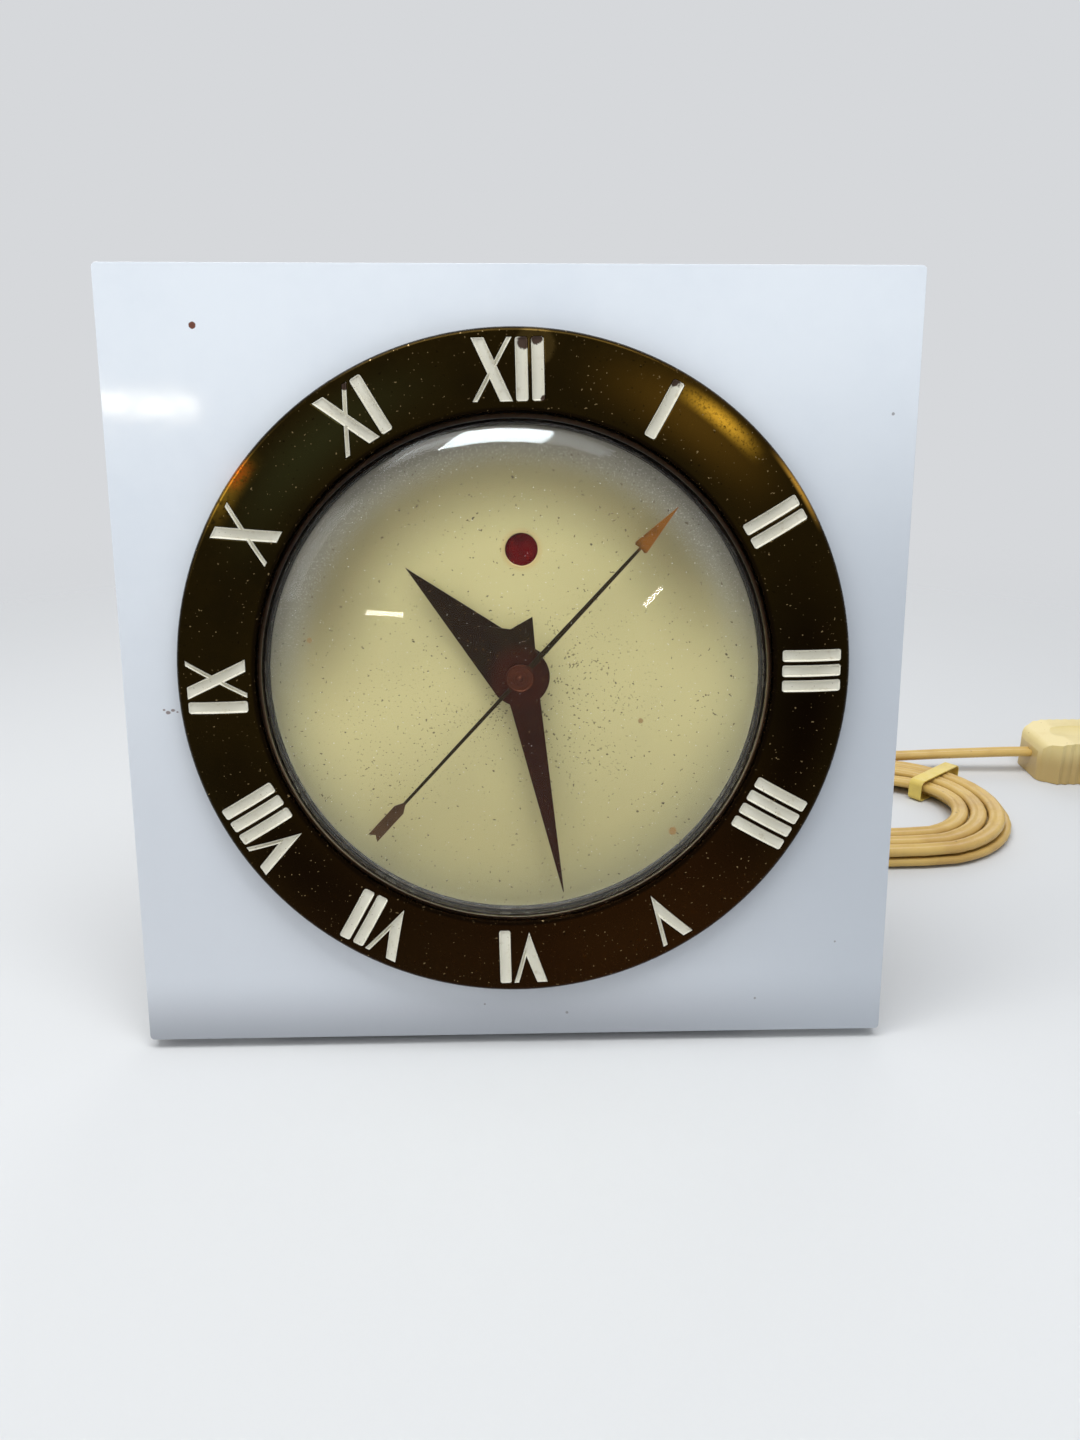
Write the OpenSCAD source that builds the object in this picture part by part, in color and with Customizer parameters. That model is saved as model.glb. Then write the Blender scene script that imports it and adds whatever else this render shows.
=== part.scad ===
// Electric table clock: a square opal panel with a stamped numeral ring and a domed
// crystal, and behind it a synchronous movement in a drawn steel housing on a bent stand.
// x runs to the right seen from the front, y to the back and z up, from the table.
// The clock's own parts are drawn in the panel's frame, where x runs to the right, y up
// the panel and z out of its front face, and leaned() tips them back as one.

/* [Panel] */
// Side of the square panel
panel_size = 178; // [168:1:200]
// Thickness of the panel
panel_thick = 6; // [4:0.5:9]
// Radius of the panel's corners, seen from the front
panel_corner = 1; // [0.5:0.5:8]
// Bevel along the panel's front and back edges
panel_bevel = 0.5; // [0.2:0.1:1.5]
// How far the clock leans back, in degrees
lean = 8; // [2:1:14]
// Gap under the panel's front edge
ground_gap = 2.4; // [1.8:0.1:5]

/* [Numeral ring] */
// Outer radius of the ring
ring_r = 76; // [75:0.5:82]
// Radius of the ring's opening
ring_hole_r = 58.1; // [56:0.1:59]
// Height of the ring's crown above the panel
ring_height = 4.6; // [4.2:0.1:7]
// Radius of the crowned face, across the ring
ring_crown_r = 40; // [36:1:60]
// Thickness of the ring's face
ring_sheet = 1.8; // [1.7:0.1:2]
// Thickness of the ring's rolled edges
ring_wall = 0.8; // [0.6:0.1:1]
// Radius of the rolled outer edge
outer_roll_r = 1.4; // [1.1:0.1:2]
// Radius of the rolled inner edge
inner_roll_r = 1.1; // [1.05:0.05:1.5]
// Gap between the ring's inner lip and the crystal's flange
lip_gap = 0.3; // [0.1:0.05:0.6]

/* [Numerals] */
// Height of a numeral, across the ring
numeral_h = 13.3; // [9:0.1:14]
// Depth of the stamped numerals' flat floors under the ring's crown
numeral_depth = 1.2; // [1:0.1:1.3]
// How far the stamping is turned anticlockwise, in degrees
numerals_turn = 1.2; // [-3:0.1:3]
// Width of a bar
bar_w = 2.7; // [1.5:0.1:2.8]
// Distance from bar to bar
bar_pitch = 3.48; // [3.2:0.02:3.8]
// Corner radius of a bar
bar_corner = 0.4; // [0.1:0.1:0.7]
// Width of the letter V
v_w = 8; // [6:0.1:8.6]
// Width of the letter X
x_w = 8.8; // [6.5:0.1:9.2]
// Width of the thick stroke of a V, along the letter's top
v_thick_w = 2.5; // [1.5:0.1:2.8]
// Width of the thick stroke of an X, along the letter's top
x_thick_w = 2.8; // [1.5:0.1:3]
// Width of the thin strokes, along the letter's top
thin_w = 1.15; // [0.8:0.05:1.5]
// Gap between a letter and the bar beside it
letter_gap = 0.6; // [0.4:0.1:1]
// Thickness of the paint in the numerals
paint_thick = 0.4; // [0.1:0.05:0.5]
// Gap around the paint in its stamping
paint_gap = 0.03; // [0.02:0.01:0.08]

/* [Crystal] */
// Thickness of the crystal
glass_thick = 2; // [1.5:0.1:3]
// Gap between the crystal's dome and the ring's opening
glass_fit = 0.25; // [0.15:0.05:0.6]
// Radius of the crystal's flat dome
dome_r = 300; // [200:10:500]
// Radius of the crystal's rounded shoulder
shoulder_r = 8.8; // [6:0.1:11]
// Width of the flange under the ring's lip
flange_w = 2.75; // [2:0.05:3.5]
// Thickness of the flange
flange_thick = 1.8; // [1.2:0.1:2]
// Gap between the back of the flange and the panel's front face, towards the back
flange_drop = 0.2; // [0.1:0.1:0.5]
// Thickness of the gasket between the crystal and the dial
gasket_thick = 1; // [0.5:0.1:1.5]
// Width of the gasket
gasket_w = 2; // [1.2:0.1:2.4]

/* [Dial] */
// Thickness of the dial
dial_thick = 0.6; // [0.4:0.1:0.9]
// Gap between the dial's rim and the panel's hole
dial_room = 1.9; // [1:0.1:3]
// Radius of the indicator's window
window_r = 3.67; // [2.5:0.01:4.5]
// Height of the window above the arbors
window_up = 28.1; // [26:0.1:30]
// How far the window sits to the right of the arbors
window_right = 0.5; // [-1:0.1:2]
// How far the arbors sit to the right of the panel's centre
arbor_right = 0.9; // [-1.2:0.1:1.2]
// How far the arbors sit above the panel's centre
arbor_up = 0.4; // [-1:0.1:1]

/* [Hands] */
// Hour hand's angle in degrees, clockwise from the top
hour_angle = 314; // [0:1:359]
// Minute hand's angle in degrees, clockwise from the top
minute_angle = 169; // [0:1:359]
// Second hand's angle in degrees, clockwise from the top
second_angle = 42.6; // [0:0.1:359]
// Length of the hour hand
hour_len = 35.1; // [25:0.1:42]
// Half width of the hour hand at its root
hour_half_w = 7.1; // [5:0.1:8]
// Length of the minute hand
minute_len = 52; // [40:0.1:54]
// Half width of the minute hand at its root
minute_half_w = 3.9; // [2.5:0.1:5]
// Radius of the minute hand's hub
minute_hub_r = 6.7; // [5:0.1:8]
// Length of the minute hand's fish tail
tail_len = 12.8; // [10:0.1:16]
// Half width of the fish tail at its points
tail_half_w = 5.35; // [4:0.05:6]
// Length of the second hand
second_len = 50.9; // [40:0.1:53]
// Length of the second hand's tail
second_tail = 50.2; // [30:0.1:53]
// Width of the second hand's stem
stem_w = 0.85; // [0.6:0.05:1.4]
// Thickness of the hands' sheet
hand_thick = 0.35; // [0.2:0.05:0.5]
// Height of the crease along the hour and minute hands
crease_h = 0.3; // [0.1:0.05:0.5]
// Height of the hour hand above the dial
hour_lift = 2.4; // [1.8:0.1:3]
// Height from hand to hand
hand_step = 1.9; // [1.5:0.1:2.3]

/* [Stand] */
// Thickness of the pad between the panel and the stand
pad_thick = 0.5; // [0.3:0.1:1]
// Thickness of the stand's sheet
stand_thick = 1.2; // [0.8:0.1:2]
// Inner radius of the stand's bend
bend_r = 1.5; // [1:0.1:3]
// Width of the stand
stand_w = 116; // [100:1:130]
// How far the stand reaches behind the middle of the panel's front
stand_reach = 64; // [60:1:75]
// Height of the stand's side flanges
side_flange_h = 5; // [3:0.5:8]
// Corner radius of the stand's foot plate
stand_corner = 12; // [6:1:18]
// Height of the rubber feet under the stand
foot_h = 2; // [1.5:0.1:3]
// Radius of the rubber feet
foot_r = 6; // [4:0.5:8]

/* [Housing] */
// Gap between the housing's wall and the washers on the studs
washer_room = 4.55; // [3.6:0.05:7]
// Depth of the housing behind its flange
housing_depth = 36; // [34:1:45]
// Thickness of the housing's sheet
housing_wall = 0.8; // [0.5:0.1:1.2]
// Radius of the housing's rounded back edge
housing_round = 5; // [3:0.5:5.5]
// How far the rear cover's rim lies inside the housing's wall
cover_inset = 6.2; // [5.6:0.1:7]
// How far the rear cover's middle is dished outwards
cover_dish = 1.2; // [0.8:0.1:3]
// Number of vent slots
vents = 7; // [3:1:9]
// Radius of the studs and nuts' thread
stud_r = 1.5; // [1:0.1:1.8]
// Thickness of the nuts
nut_thick = 2.4; // [1.8:0.1:3]

/* [Movement] */
// Thickness of the mounting plate
plate_thick = 1.5; // [1:0.1:2]
// Thickness of the movement's back plate
back_plate_thick = 1.4; // [1:0.1:2]
// Distance between the plates
plate_room = 11.8; // [11.6:0.1:13]
// Side of the back plate
back_plate_w = 72; // [68:1:78]
// Distance of a pillar from the arbors, along x and along y
pillar_at = 31; // [28:0.5:32]
// Radius of the pillars
pillar_r = 2.5; // [2:0.1:3]
// Gear module of the train
gear_module = 0.5; // [0.46:0.01:0.52]
// Thickness of the wheels
wheel_thick = 1; // [0.6:0.1:1.2]
// Teeth of the second wheel
second_teeth = 54; // [48:1:58]
// Teeth of the rotor's pinion
rotor_teeth = 15; // [12:1:16]
// Teeth of the third wheel
third_teeth = 64; // [60:1:64]
// Teeth of the clutch wheel
clutch_teeth = 60; // [56:1:62]
// Teeth of the train's small pinions
pinion_teeth = 8; // [8:1:9]
// Teeth of the cannon pinion and of the set pinion
cannon_teeth = 12; // [11:1:12]
// Teeth of the motion wheel
motion_teeth = 36; // [33:1:36]
// Teeth of the motion pinion
motion_pinion_teeth = 10; // [9:1:10]
// Teeth of the hour wheel
hour_teeth = 40; // [38:1:42]
// Radius of the second arbor
second_arbor_r = 0.6; // [0.5:0.05:0.7]
// Wall of the minute and hour pipes
pipe_wall = 0.6; // [0.45:0.05:0.8]
// Radius of a pivot
pivot_r = 0.5; // [0.3:0.05:0.5]
// Radial clearance of a shaft in its hole
run_fit = 0.05; // [0.02:0.01:0.1]
// Radius of the rotor's can
can_r = 17; // [15:0.5:17.5]
// Height of the laminated core
core_thick = 8; // [6:0.5:9]
// Radius of the set arbor
set_arbor_r = 1.5; // [1:0.1:1.8]
// Radius of the set knob
knob_r = 8.5; // [6:0.5:10]
// Length of the set knob
knob_len = 10; // [8:0.5:14]
// How far the indicator's flag swings, in degrees
flag_swing = 24; // [18:1:26]

/* [Cord] */
// Width of the flat cord
cord_w = 5.4; // [4.5:0.1:5.6]
// Thickness of the flat cord
cord_h = 2.8; // [2.2:0.1:2.9]
// Turns of the coil
coil_turns = 6; // [4:2:6]
// Distance from turn to turn, sideways
coil_pitch = 6; // [5.9:0.1:6.4]
// Height from layer to layer
layer_pitch = 3.4; // [3.3:0.1:4]
// Outer half width of the coil, at the middle of the cord
coil_r = 41; // [38:1:42]
// Straight part in the coil's long sides
coil_straight = 24; // [10:1:30]
// Thickness of the tie's band
tie_thick = 0.5; // [0.3:0.1:0.7]
// Width of the tie's band
tie_w = 5; // [3:0.5:8]
// Length of the plug's body
plug_len = 36; // [30:1:44]
// Width of the plug's body at its grip
plug_w = 27; // [25:1:30]
// Thickness of the plug's body
plug_h = 16; // [14:0.5:18]
// Length of the plug's blades
blade_len = 16; // [12:0.5:18]
// Width of a blade
blade_w = 6.3; // [5:0.1:7]
// Thickness of a blade
blade_thick = 1.5; // [1.2:0.1:2]
// Distance from blade to blade
blade_pitch = 12.7; // [11:0.1:14]

/* [Hidden] */
$fn = 96;

// A small step past a face that is cut, and the gap that keeps flat faces of moving parts apart
cut = 0.5;
face_gap = 0.1;

// Heights along the panel's normal, from the crystal to the back
dial_front = -flange_drop - gasket_thick;
dial_back = dial_front - dial_thick;
pad_back = -panel_thick - pad_thick;
stand_back = pad_back - stand_thick;
plate_back = stand_back - plate_thick;
flange_back = plate_back - housing_wall;
housing_end = flange_back - housing_depth + housing_wall;
cover_end = housing_end - housing_wall - cover_dish;
back_plate_front = plate_back - plate_room;
back_plate_end = back_plate_front - back_plate_thick;

// Radii that follow one another from the ring's opening outwards
glass_r = ring_hole_r - glass_fit;
flange_r = glass_r + flange_w;
dial_r = flange_r;
panel_hole_r = dial_r + dial_room;
ring_mid_r = (ring_r + ring_hole_r) / 2;
stud_circle_r = (panel_hole_r + ring_r) / 2 + 0.5;
stud_angles = [75, 195, 315];
stud_room = 0.3;
stud_foot_r = 3.4;
washer_r = stud_r + 2;
housing_r = stud_circle_r - washer_r - washer_room;
cover_r = housing_r - cover_inset;
plate_r = ring_r - 1;
stand_r = ring_r + 0.5;

// The lean, and where the panel's middle comes to lie in the table's frame
centre_z = ground_gap + panel_size / 2 * cos(lean);
shoulder_c = glass_r - shoulder_r;
shoulder_z = -flange_drop + 0.8;
dome_rise = sqrt(pow(dome_r - shoulder_r, 2) - pow(shoulder_c, 2));
dome_z = shoulder_z - dome_rise;
front_reach = dome_r + dome_z * cos(lean);
centre_y = (front_reach - stand_reach) / 2;

// The stand's bend and its end, in y and z of the table's frame, and its feet
bend_z = foot_h + stand_thick + bend_r;
bend_up = (bend_z - centre_z - (stand_back - bend_r) * sin(lean)) / cos(lean);
bend_y = centre_y + bend_up * sin(lean) - (stand_back - bend_r) * cos(lean);
stand_end = centre_y + stand_reach;
foot_stem_r = 2;
foot_x = stand_w / 2 - 10;

// Centres of the rolled edges, tangent inside the crowned face
crown_z = ring_height - ring_crown_r;
outer_roll_c = [ring_r - outer_roll_r,
    crown_z + sqrt(pow(ring_crown_r - outer_roll_r, 2) - pow(ring_r - outer_roll_r - ring_mid_r, 2))];
inner_roll_c = [ring_hole_r + inner_roll_r,
    crown_z + sqrt(pow(ring_crown_r - inner_roll_r, 2) - pow(ring_mid_r - ring_hole_r - inner_roll_r, 2))];
flange_top = flange_thick - flange_drop;
lip_end = flange_top + lip_gap;
numeral_z = ring_height - numeral_depth;
bar_gap = bar_pitch - bar_w;

// Heights of the hands
hour_z = dial_front + hour_lift;
minute_z = hour_z + hand_step;
second_z = minute_z + hand_step;
hand_hub_h = 0.9;

// Radii of the concentric arbors
minute_bore = second_arbor_r + run_fit;
minute_pipe_r = minute_bore + pipe_wall;
hour_bore = minute_pipe_r + run_fit;
hour_pipe_r = hour_bore + pipe_wall;

// Motion work, between the dial and the mounting plate
motion_module = gear_module;
motion_dist = motion_module * (cannon_teeth + motion_teeth) / 2;
hour_module = 2 * motion_dist / (motion_pinion_teeth + hour_teeth);
set_dist = motion_dist * 2;
motion_z = stand_back + 1.1;
motion_top = motion_z + wheel_thick + 0.2;
hour_wheel_z = motion_top + 0.8;
motion_pinion_top = hour_wheel_z + wheel_thick + 0.3;

// Train, between the plates
third_dist = gear_module * (third_teeth + pinion_teeth) / 2;
clutch_module = 2 * third_dist / (clutch_teeth + pinion_teeth);
rotor_dist = gear_module * (second_teeth + rotor_teeth) / 2;
shoulder_top = plate_back - 0.2;
clutch_top = shoulder_top - 1;
third_top = clutch_top - wheel_thick - 3.2;
second_top = third_top - wheel_thick - 1.6;
pinion_over = 0.5;

// Phase of a gear's first tooth, so that it meshes with the gear before it: a tooth of the
// one lies in a gap of the other on the line between their centres, which runs at dir
function mesh_phase(phase, teeth, dir, teeth2) = dir + 180 - (phase - dir) * teeth / teeth2 + 180 / teeth2;
motion_dir = -90;
third_dir = 180;
rotor_dir = 90;
cannon_phase = 0;
motion_phase = mesh_phase(cannon_phase, cannon_teeth, motion_dir, motion_teeth);
set_phase = mesh_phase(motion_phase, motion_teeth, motion_dir, cannon_teeth);
hour_phase = 0;
motion_pinion_phase = mesh_phase(hour_phase, hour_teeth, motion_dir, motion_pinion_teeth);
second_phase = 0;
rotor_phase = mesh_phase(second_phase, second_teeth, rotor_dir, rotor_teeth);
second_pinion_phase = 0;
third_phase = mesh_phase(second_pinion_phase, pinion_teeth, third_dir, third_teeth);
clutch_phase = 0;
third_pinion_phase = mesh_phase(clutch_phase, clutch_teeth, third_dir, pinion_teeth);

// Pillars and their screws, and the post that the motion wheel turns on
pillar_screw_r = 1.2;
pillar_tap = 6;
back_plate_corner = 8;
motion_stud_r = 1;

// Motor, behind the back plate
can_front = back_plate_end - 0.3;
can_nose = 5.4;
can_len = 18.4;
rotor_shaft_r = 1;
core_front = back_plate_end - 6.4;
limb_x = -37;
limb_w = 8;
limb_low = 3;
limb_high = 28;
arm_w = 8;
pole_w = 24;
bobbin_wall = 1;
coil_build = 5;
core_post_at = [[-14, -2], [-14, 33]];

// Indicator
flag_pivot = [16, 19.8];
flag_thick = 0.5;
flag_back = dial_back - 1.2;
flag_disc_r = window_r + 1;
flag_stud_r = 1;
stop_r = 0.8;
window_from_pivot = [window_right - flag_pivot[0], window_up - flag_pivot[1]];

// Rear fittings, in the panel's frame
set_at = [arbor_right, arbor_up - set_dist];
relief_at = [16, -38];
relief_len = 22;
relief_r = 4.2;
relief_tip_r = 3.4;
relief_neck_r = 4;
relief_flange_r = 5.2;
cover_screw_r = cover_r - 2.7;
cover_screw_angles = [90, 210, 330];
cover_screw_shank = 1.4;
cover_flat_r = cover_r - 8.5;
cover_step = 2.4;

// The cord's free stretches, by hand, in the table's frame
lead_route = [[16, 39.5, 43.25], [16, 45, 42.5], [16.2, 51.5, 40.6], [16.8, 58.1, 36.8], [17.8, 63.9, 31.2],
    [19.2, 68.5, 24.5], [21, 72.9, 17.5], [23.4, 78.1, 11.1], [27, 84.9, 6.1], [31.6, 92.5, 3.2], [37.6, 100.9, 2.2],
    [45.6, 109.9, 1.95], [55, 117.9, 1.95], [66, 124.7, 1.95], [78.6, 129.7, 1.95], [92, 132.5, 1.95],
    [105, 133.2, 1.95], [112.4, 133.2, 1.95], [118, 133.2, 1.95]];
tail_route = [[118, 133.2, 5.35], [123.6, 133.2, 5.35], [136, 133.2, 5.5], [150, 133, 6], [164, 132.4, 6.8],
    [178, 131.4, 7.6], [188, 131, 8], [197, 131, 8]];
coil_start = [118, 133.2];
coil_centre = coil_start - [0, coil_r];
coil_z = tie_thick + cord_h / 2 + 0.05;
coil_rings = 24;
tie_phase = 50;
plug_at = [197, 131];
plug_end_w = 19;

module leaned() {
    translate([0, centre_y, centre_z]) rotate([90 - lean, 0, 0]) children();
}

// Moves to the arbors' line, and for the later ones to an axis beside it
module at_arbors() {
    leaned() translate([arbor_right, arbor_up, 0]) children();
}

module beside_arbors(dist, dir) {
    at_arbors() rotate([0, 0, dir]) translate([dist, 0, 0]) rotate([0, 0, -dir]) children();
}

// A cylinder between two heights
module post(r, low, high) {
    translate([0, 0, low]) cylinder(r = r, h = high - low);
}

module tube(r, bore, low, high) {
    difference() {
        post(r, low, high);
        post(bore, low - cut, high + cut);
    }
}

module rounded_rect(w, h, r) {
    union() {
        translate([-w / 2 + r, -h / 2]) square([w - 2 * r, h]);
        translate([-w / 2, -h / 2 + r]) square([w, h - 2 * r]);
        for (sx = [-1, 1], sy = [-1, 1]) translate([sx * (w / 2 - r), sy * (h / 2 - r)]) circle(r = r);
    }
}

module at_studs() {
    for (a = stud_angles) rotate([0, 0, a]) translate([stud_circle_r, 0, 0]) children();
}

// Spur gear with a bore: the teeth narrow from a quarter pitch each side at the root
module gear(teeth, gear_m, thick, bore, phase) {
    pitch_r = teeth * gear_m / 2;
    tip_r = pitch_r + 0.75 * gear_m;
    root_r = pitch_r - 1.12 * gear_m;
    step = 360 / teeth;
    outline = [for (i = [0:teeth - 1], c = [[root_r, -0.23], [tip_r, -0.1], [tip_r, 0.1], [root_r, 0.23]])
        c[0] * [cos(phase + (i + c[1]) * step), sin(phase + (i + c[1]) * step)]];
    difference() {
        linear_extrude(thick) polygon(outline);
        if (bore > 0) post(bore, -cut, thick + cut);
    }
}

// Square panel of opal sheet, with its bevelled edges, dial opening and stud holes
module front_panel() {
    half = panel_size / 2;
    color("whitesmoke") leaned() difference() {
        translate([0, 0, -panel_thick]) linear_extrude(panel_thick) rounded_rect(panel_size, panel_size, panel_corner);
        for (a = [0:90:270], z = [0, -panel_thick])
            rotate([0, 0, a]) translate([half, 0, z]) rotate([0, 45, 0])
                cube([panel_bevel * sqrt(2), panel_size + 2, panel_bevel * sqrt(2)], center = true);
        post(panel_hole_r, -panel_thick - cut, cut);
        at_studs() post(stud_r + 2 * stud_room, -panel_thick - cut, cut);
    }
}

// Points along an arc from one angle to another
function arc(centre, r, from, to, steps) = [for (i = [0:steps])
    centre + r * [cos(from + (to - from) * i / steps), sin(from + (to - from) * i / steps)]];

// The ring's section, as narrow conical bands: a crowned face that runs into rolled edges,
// and the hollow behind it, open to the panel
module ring_section() {
    crown = [ring_mid_r, crown_z];
    outer_turn = atan2(outer_roll_c[1] - crown_z, outer_roll_c[0] - ring_mid_r);
    inner_turn = atan2(inner_roll_c[1] - crown_z, inner_roll_c[0] - ring_mid_r);
    under_r = ring_crown_r - ring_sheet;
    under_half = (ring_r - ring_hole_r) / 2 - ring_wall;
    under_turn = acos(under_half / under_r);
    polygon(concat([[ring_r, 0]], arc(outer_roll_c, outer_roll_r, 0, outer_turn, 5),
        arc(crown, ring_crown_r, outer_turn, inner_turn, 8), arc(inner_roll_c, inner_roll_r, inner_turn, 180, 5),
        [[ring_hole_r, lip_end], [ring_mid_r - under_half, lip_end]],
        arc(crown, under_r, 180 - under_turn, under_turn, 5), [[ring_mid_r + under_half, 0]]));
}

// One bar, from the numeral's lower left corner, grown all round by grow
module bar_2d(grow) {
    translate([bar_w / 2, numeral_h / 2]) rounded_rect(bar_w + 2 * grow, numeral_h + 2 * grow, bar_corner + max(grow, -bar_corner / 2));
}

// The letter V, thick stroke first, its point towards the ring's opening
module v_2d(grow) {
    top = numeral_h + grow;
    point = [0.524 * v_w, 0.5 - 2 * grow];
    notch = [0.62 * v_w, 0.48 * numeral_h + 2 * grow];
    polygon([[-grow, top], [v_thick_w + grow, top], notch, [v_w - thin_w - grow, top], [v_w + grow, top], point]);
}

// Where the line through a and b meets the line through c and d
function crossing(a, b, c, d) = let (u = b - a, v = d - c, w = c - a)
    a + u * (w[0] * v[1] - w[1] * v[0]) / (u[0] * v[1] - u[1] * v[0]);

// The letter X: a thick stroke and a thin one across it, as one outline
module x_2d(grow) {
    top = numeral_h + grow;
    foot = -grow;
    thick_left = [[-grow, top], [x_w - x_thick_w - grow, foot]];
    thick_right = [[x_thick_w + grow, top], [x_w + grow, foot]];
    thin_left = [[x_w - thin_w - grow, top], [-grow, foot]];
    thin_right = [[x_w + grow, top], [thin_w + grow, foot]];
    polygon([thick_left[0], thick_right[0], crossing(thick_right[0], thick_right[1], thin_left[0], thin_left[1]),
        thin_left[0], thin_right[0], crossing(thick_right[0], thick_right[1], thin_right[0], thin_right[1]),
        thick_right[1], thick_left[1], crossing(thick_left[0], thick_left[1], thin_right[0], thin_right[1]),
        thin_right[1], thin_left[1], crossing(thick_left[0], thick_left[1], thin_left[0], thin_left[1])]);
}

// The numerals as rows of strokes. Each stroke is its letter and its place along the row
NUMERALS = ["I", "II", "III", "IIII", "V", "VI", "VII", "VIII", "IX", "X", "XI", "XII"];
function stroke_w(c) = c == "I" ? bar_w : c == "V" ? v_w : x_w;
function gap_after(a, b) = a == "I" && b == "I" ? bar_gap : letter_gap;
function start_of(word, i) = i == 0 ? 0 : start_of(word, i - 1) + stroke_w(word[i - 1]) + gap_after(word[i - 1], word[i]);
function word_w(word) = start_of(word, len(word) - 1) + stroke_w(word[len(word) - 1]);

module numerals_2d(grow) {
    for (hour = [1:12]) {
        word = NUMERALS[hour - 1];
        rotate([0, 0, numerals_turn - 30 * hour])
            translate([-word_w(word) / 2, ring_mid_r - numeral_h / 2])
                for (i = [0:len(word) - 1]) translate([start_of(word, i), 0]) {
                    if (word[i] == "I") bar_2d(grow);
                    if (word[i] == "V") v_2d(grow);
                    if (word[i] == "X") x_2d(grow);
                }
    }
}

// The numerals as prisms, from their flat floors up
module numeral_prisms(grow, low, high) {
    translate([0, 0, low]) linear_extrude(high - low) numerals_2d(grow);
}

// Stamped brass ring: a crowned face between rolled edges, its numerals pressed in
module numeral_ring() {
    color("darkgoldenrod") leaned() difference() {
        rotate_extrude() ring_section();
        numeral_prisms(0, numeral_z, ring_height + cut);
    }
}

// Ivory paint that fills the stamped numerals
module numeral_paint() {
    color("ivory") leaned() numeral_prisms(-paint_gap, numeral_z, numeral_z + paint_thick);
}

// The crystal's solid outline, drawn in by inset from its outer surface
module glass_outline(inset) {
    far = 1.2;
    low = -flange_drop;
    ray = [shoulder_c, dome_rise];
    union() {
        intersection() {
            translate([0, dome_z]) circle(r = dome_r - inset, $fn = 200);
            polygon([[0, dome_z], [0, dome_z] + ray * far, [0, dome_z + dome_rise * far]]);
            translate([0, low]) square([dome_r, dome_r]);
        }
        intersection() {
            translate([shoulder_c, shoulder_z]) circle(r = shoulder_r - inset);
            translate([shoulder_c - shoulder_r / 2, low]) square([2 * shoulder_r, 2 * shoulder_r]);
        }
        translate([0, low]) square([shoulder_c + shoulder_r - inset, shoulder_z - low]);
    }
}

// Domed glass with a rounded shoulder and a flange that the ring's lip holds
module crystal() {
    color("lightcyan", 0.4) leaned() rotate_extrude() difference() {
        union() {
            glass_outline(0);
            translate([glass_r - glass_thick, -flange_drop]) square([flange_w + glass_thick, flange_thick]);
        }
        glass_outline(glass_thick);
        translate([0, -flange_drop - cut]) square([shoulder_c + shoulder_r - glass_thick, cut]);
    }
}

module crystal_gasket() {
    color("dimgray") leaned() tube(flange_r, flange_r - gasket_w, dial_front, -flange_drop);
}

// Tinplate dial with its centre hole and the indicator's window
module dial() {
    color("khaki") leaned() difference() {
        post(dial_r, dial_back, dial_front);
        translate([arbor_right, arbor_up, 0]) post(hour_pipe_r + 0.5, dial_back - cut, dial_front + cut);
        translate([arbor_right + window_right, arbor_up + window_up, 0]) post(window_r, dial_back - cut, dial_front + cut);
    }
}

// Three posts that carry the dial on the mounting plate
module dial_feet() {
    color("goldenrod") leaned() for (a = [45, 165, 285])
        rotate([0, 0, a]) translate([dial_r - 10, 0, 0]) union() {
            post(1.6, stand_back, dial_back);
            post(3, stand_back, stand_back + 0.8);
        }
}

// Threaded studs soldered inside the ring, which clamp the whole clock together
module ring_studs() {
    foot_top = ring_height - ring_sheet - 0.6;
    color("goldenrod") leaned() at_studs() union() {
        post(stud_foot_r, foot_top - 1.2, foot_top);
        post(stud_r, flange_back - nut_thick - 1.6, foot_top);
    }
}

module panel_pad() {
    color("peru") leaned() difference() {
        tube(plate_r, panel_hole_r + 1, pad_back, -panel_thick);
        at_studs() post(stud_r + stud_room, pad_back - cut, -panel_thick + cut);
    }
}

// A point of the panel's frame, given up the panel and out of it, in y and z of the table's frame
function in_side_view(up, out) = [centre_y + up * sin(lean) - out * cos(lean), centre_z + up * cos(lean) + out * sin(lean)];

// The strip that runs down from the upright, round the bend and into the foot plate
module stand_strip() {
    bend = [bend_y, bend_z];
    top = bend_up + 18;
    outer = bend_r + stand_thick;
    rotate([90, 0, 90]) linear_extrude(stand_w, center = true)
        polygon(concat([[bend_y + stand_corner, foot_h]], arc(bend, outer, 270, 180 - lean, 10),
            [in_side_view(top, pad_back), in_side_view(top, stand_back)],
            arc(bend, bend_r, 180 - lean, 270, 10), [[bend_y + stand_corner, foot_h + stand_thick]]));
}

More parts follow.
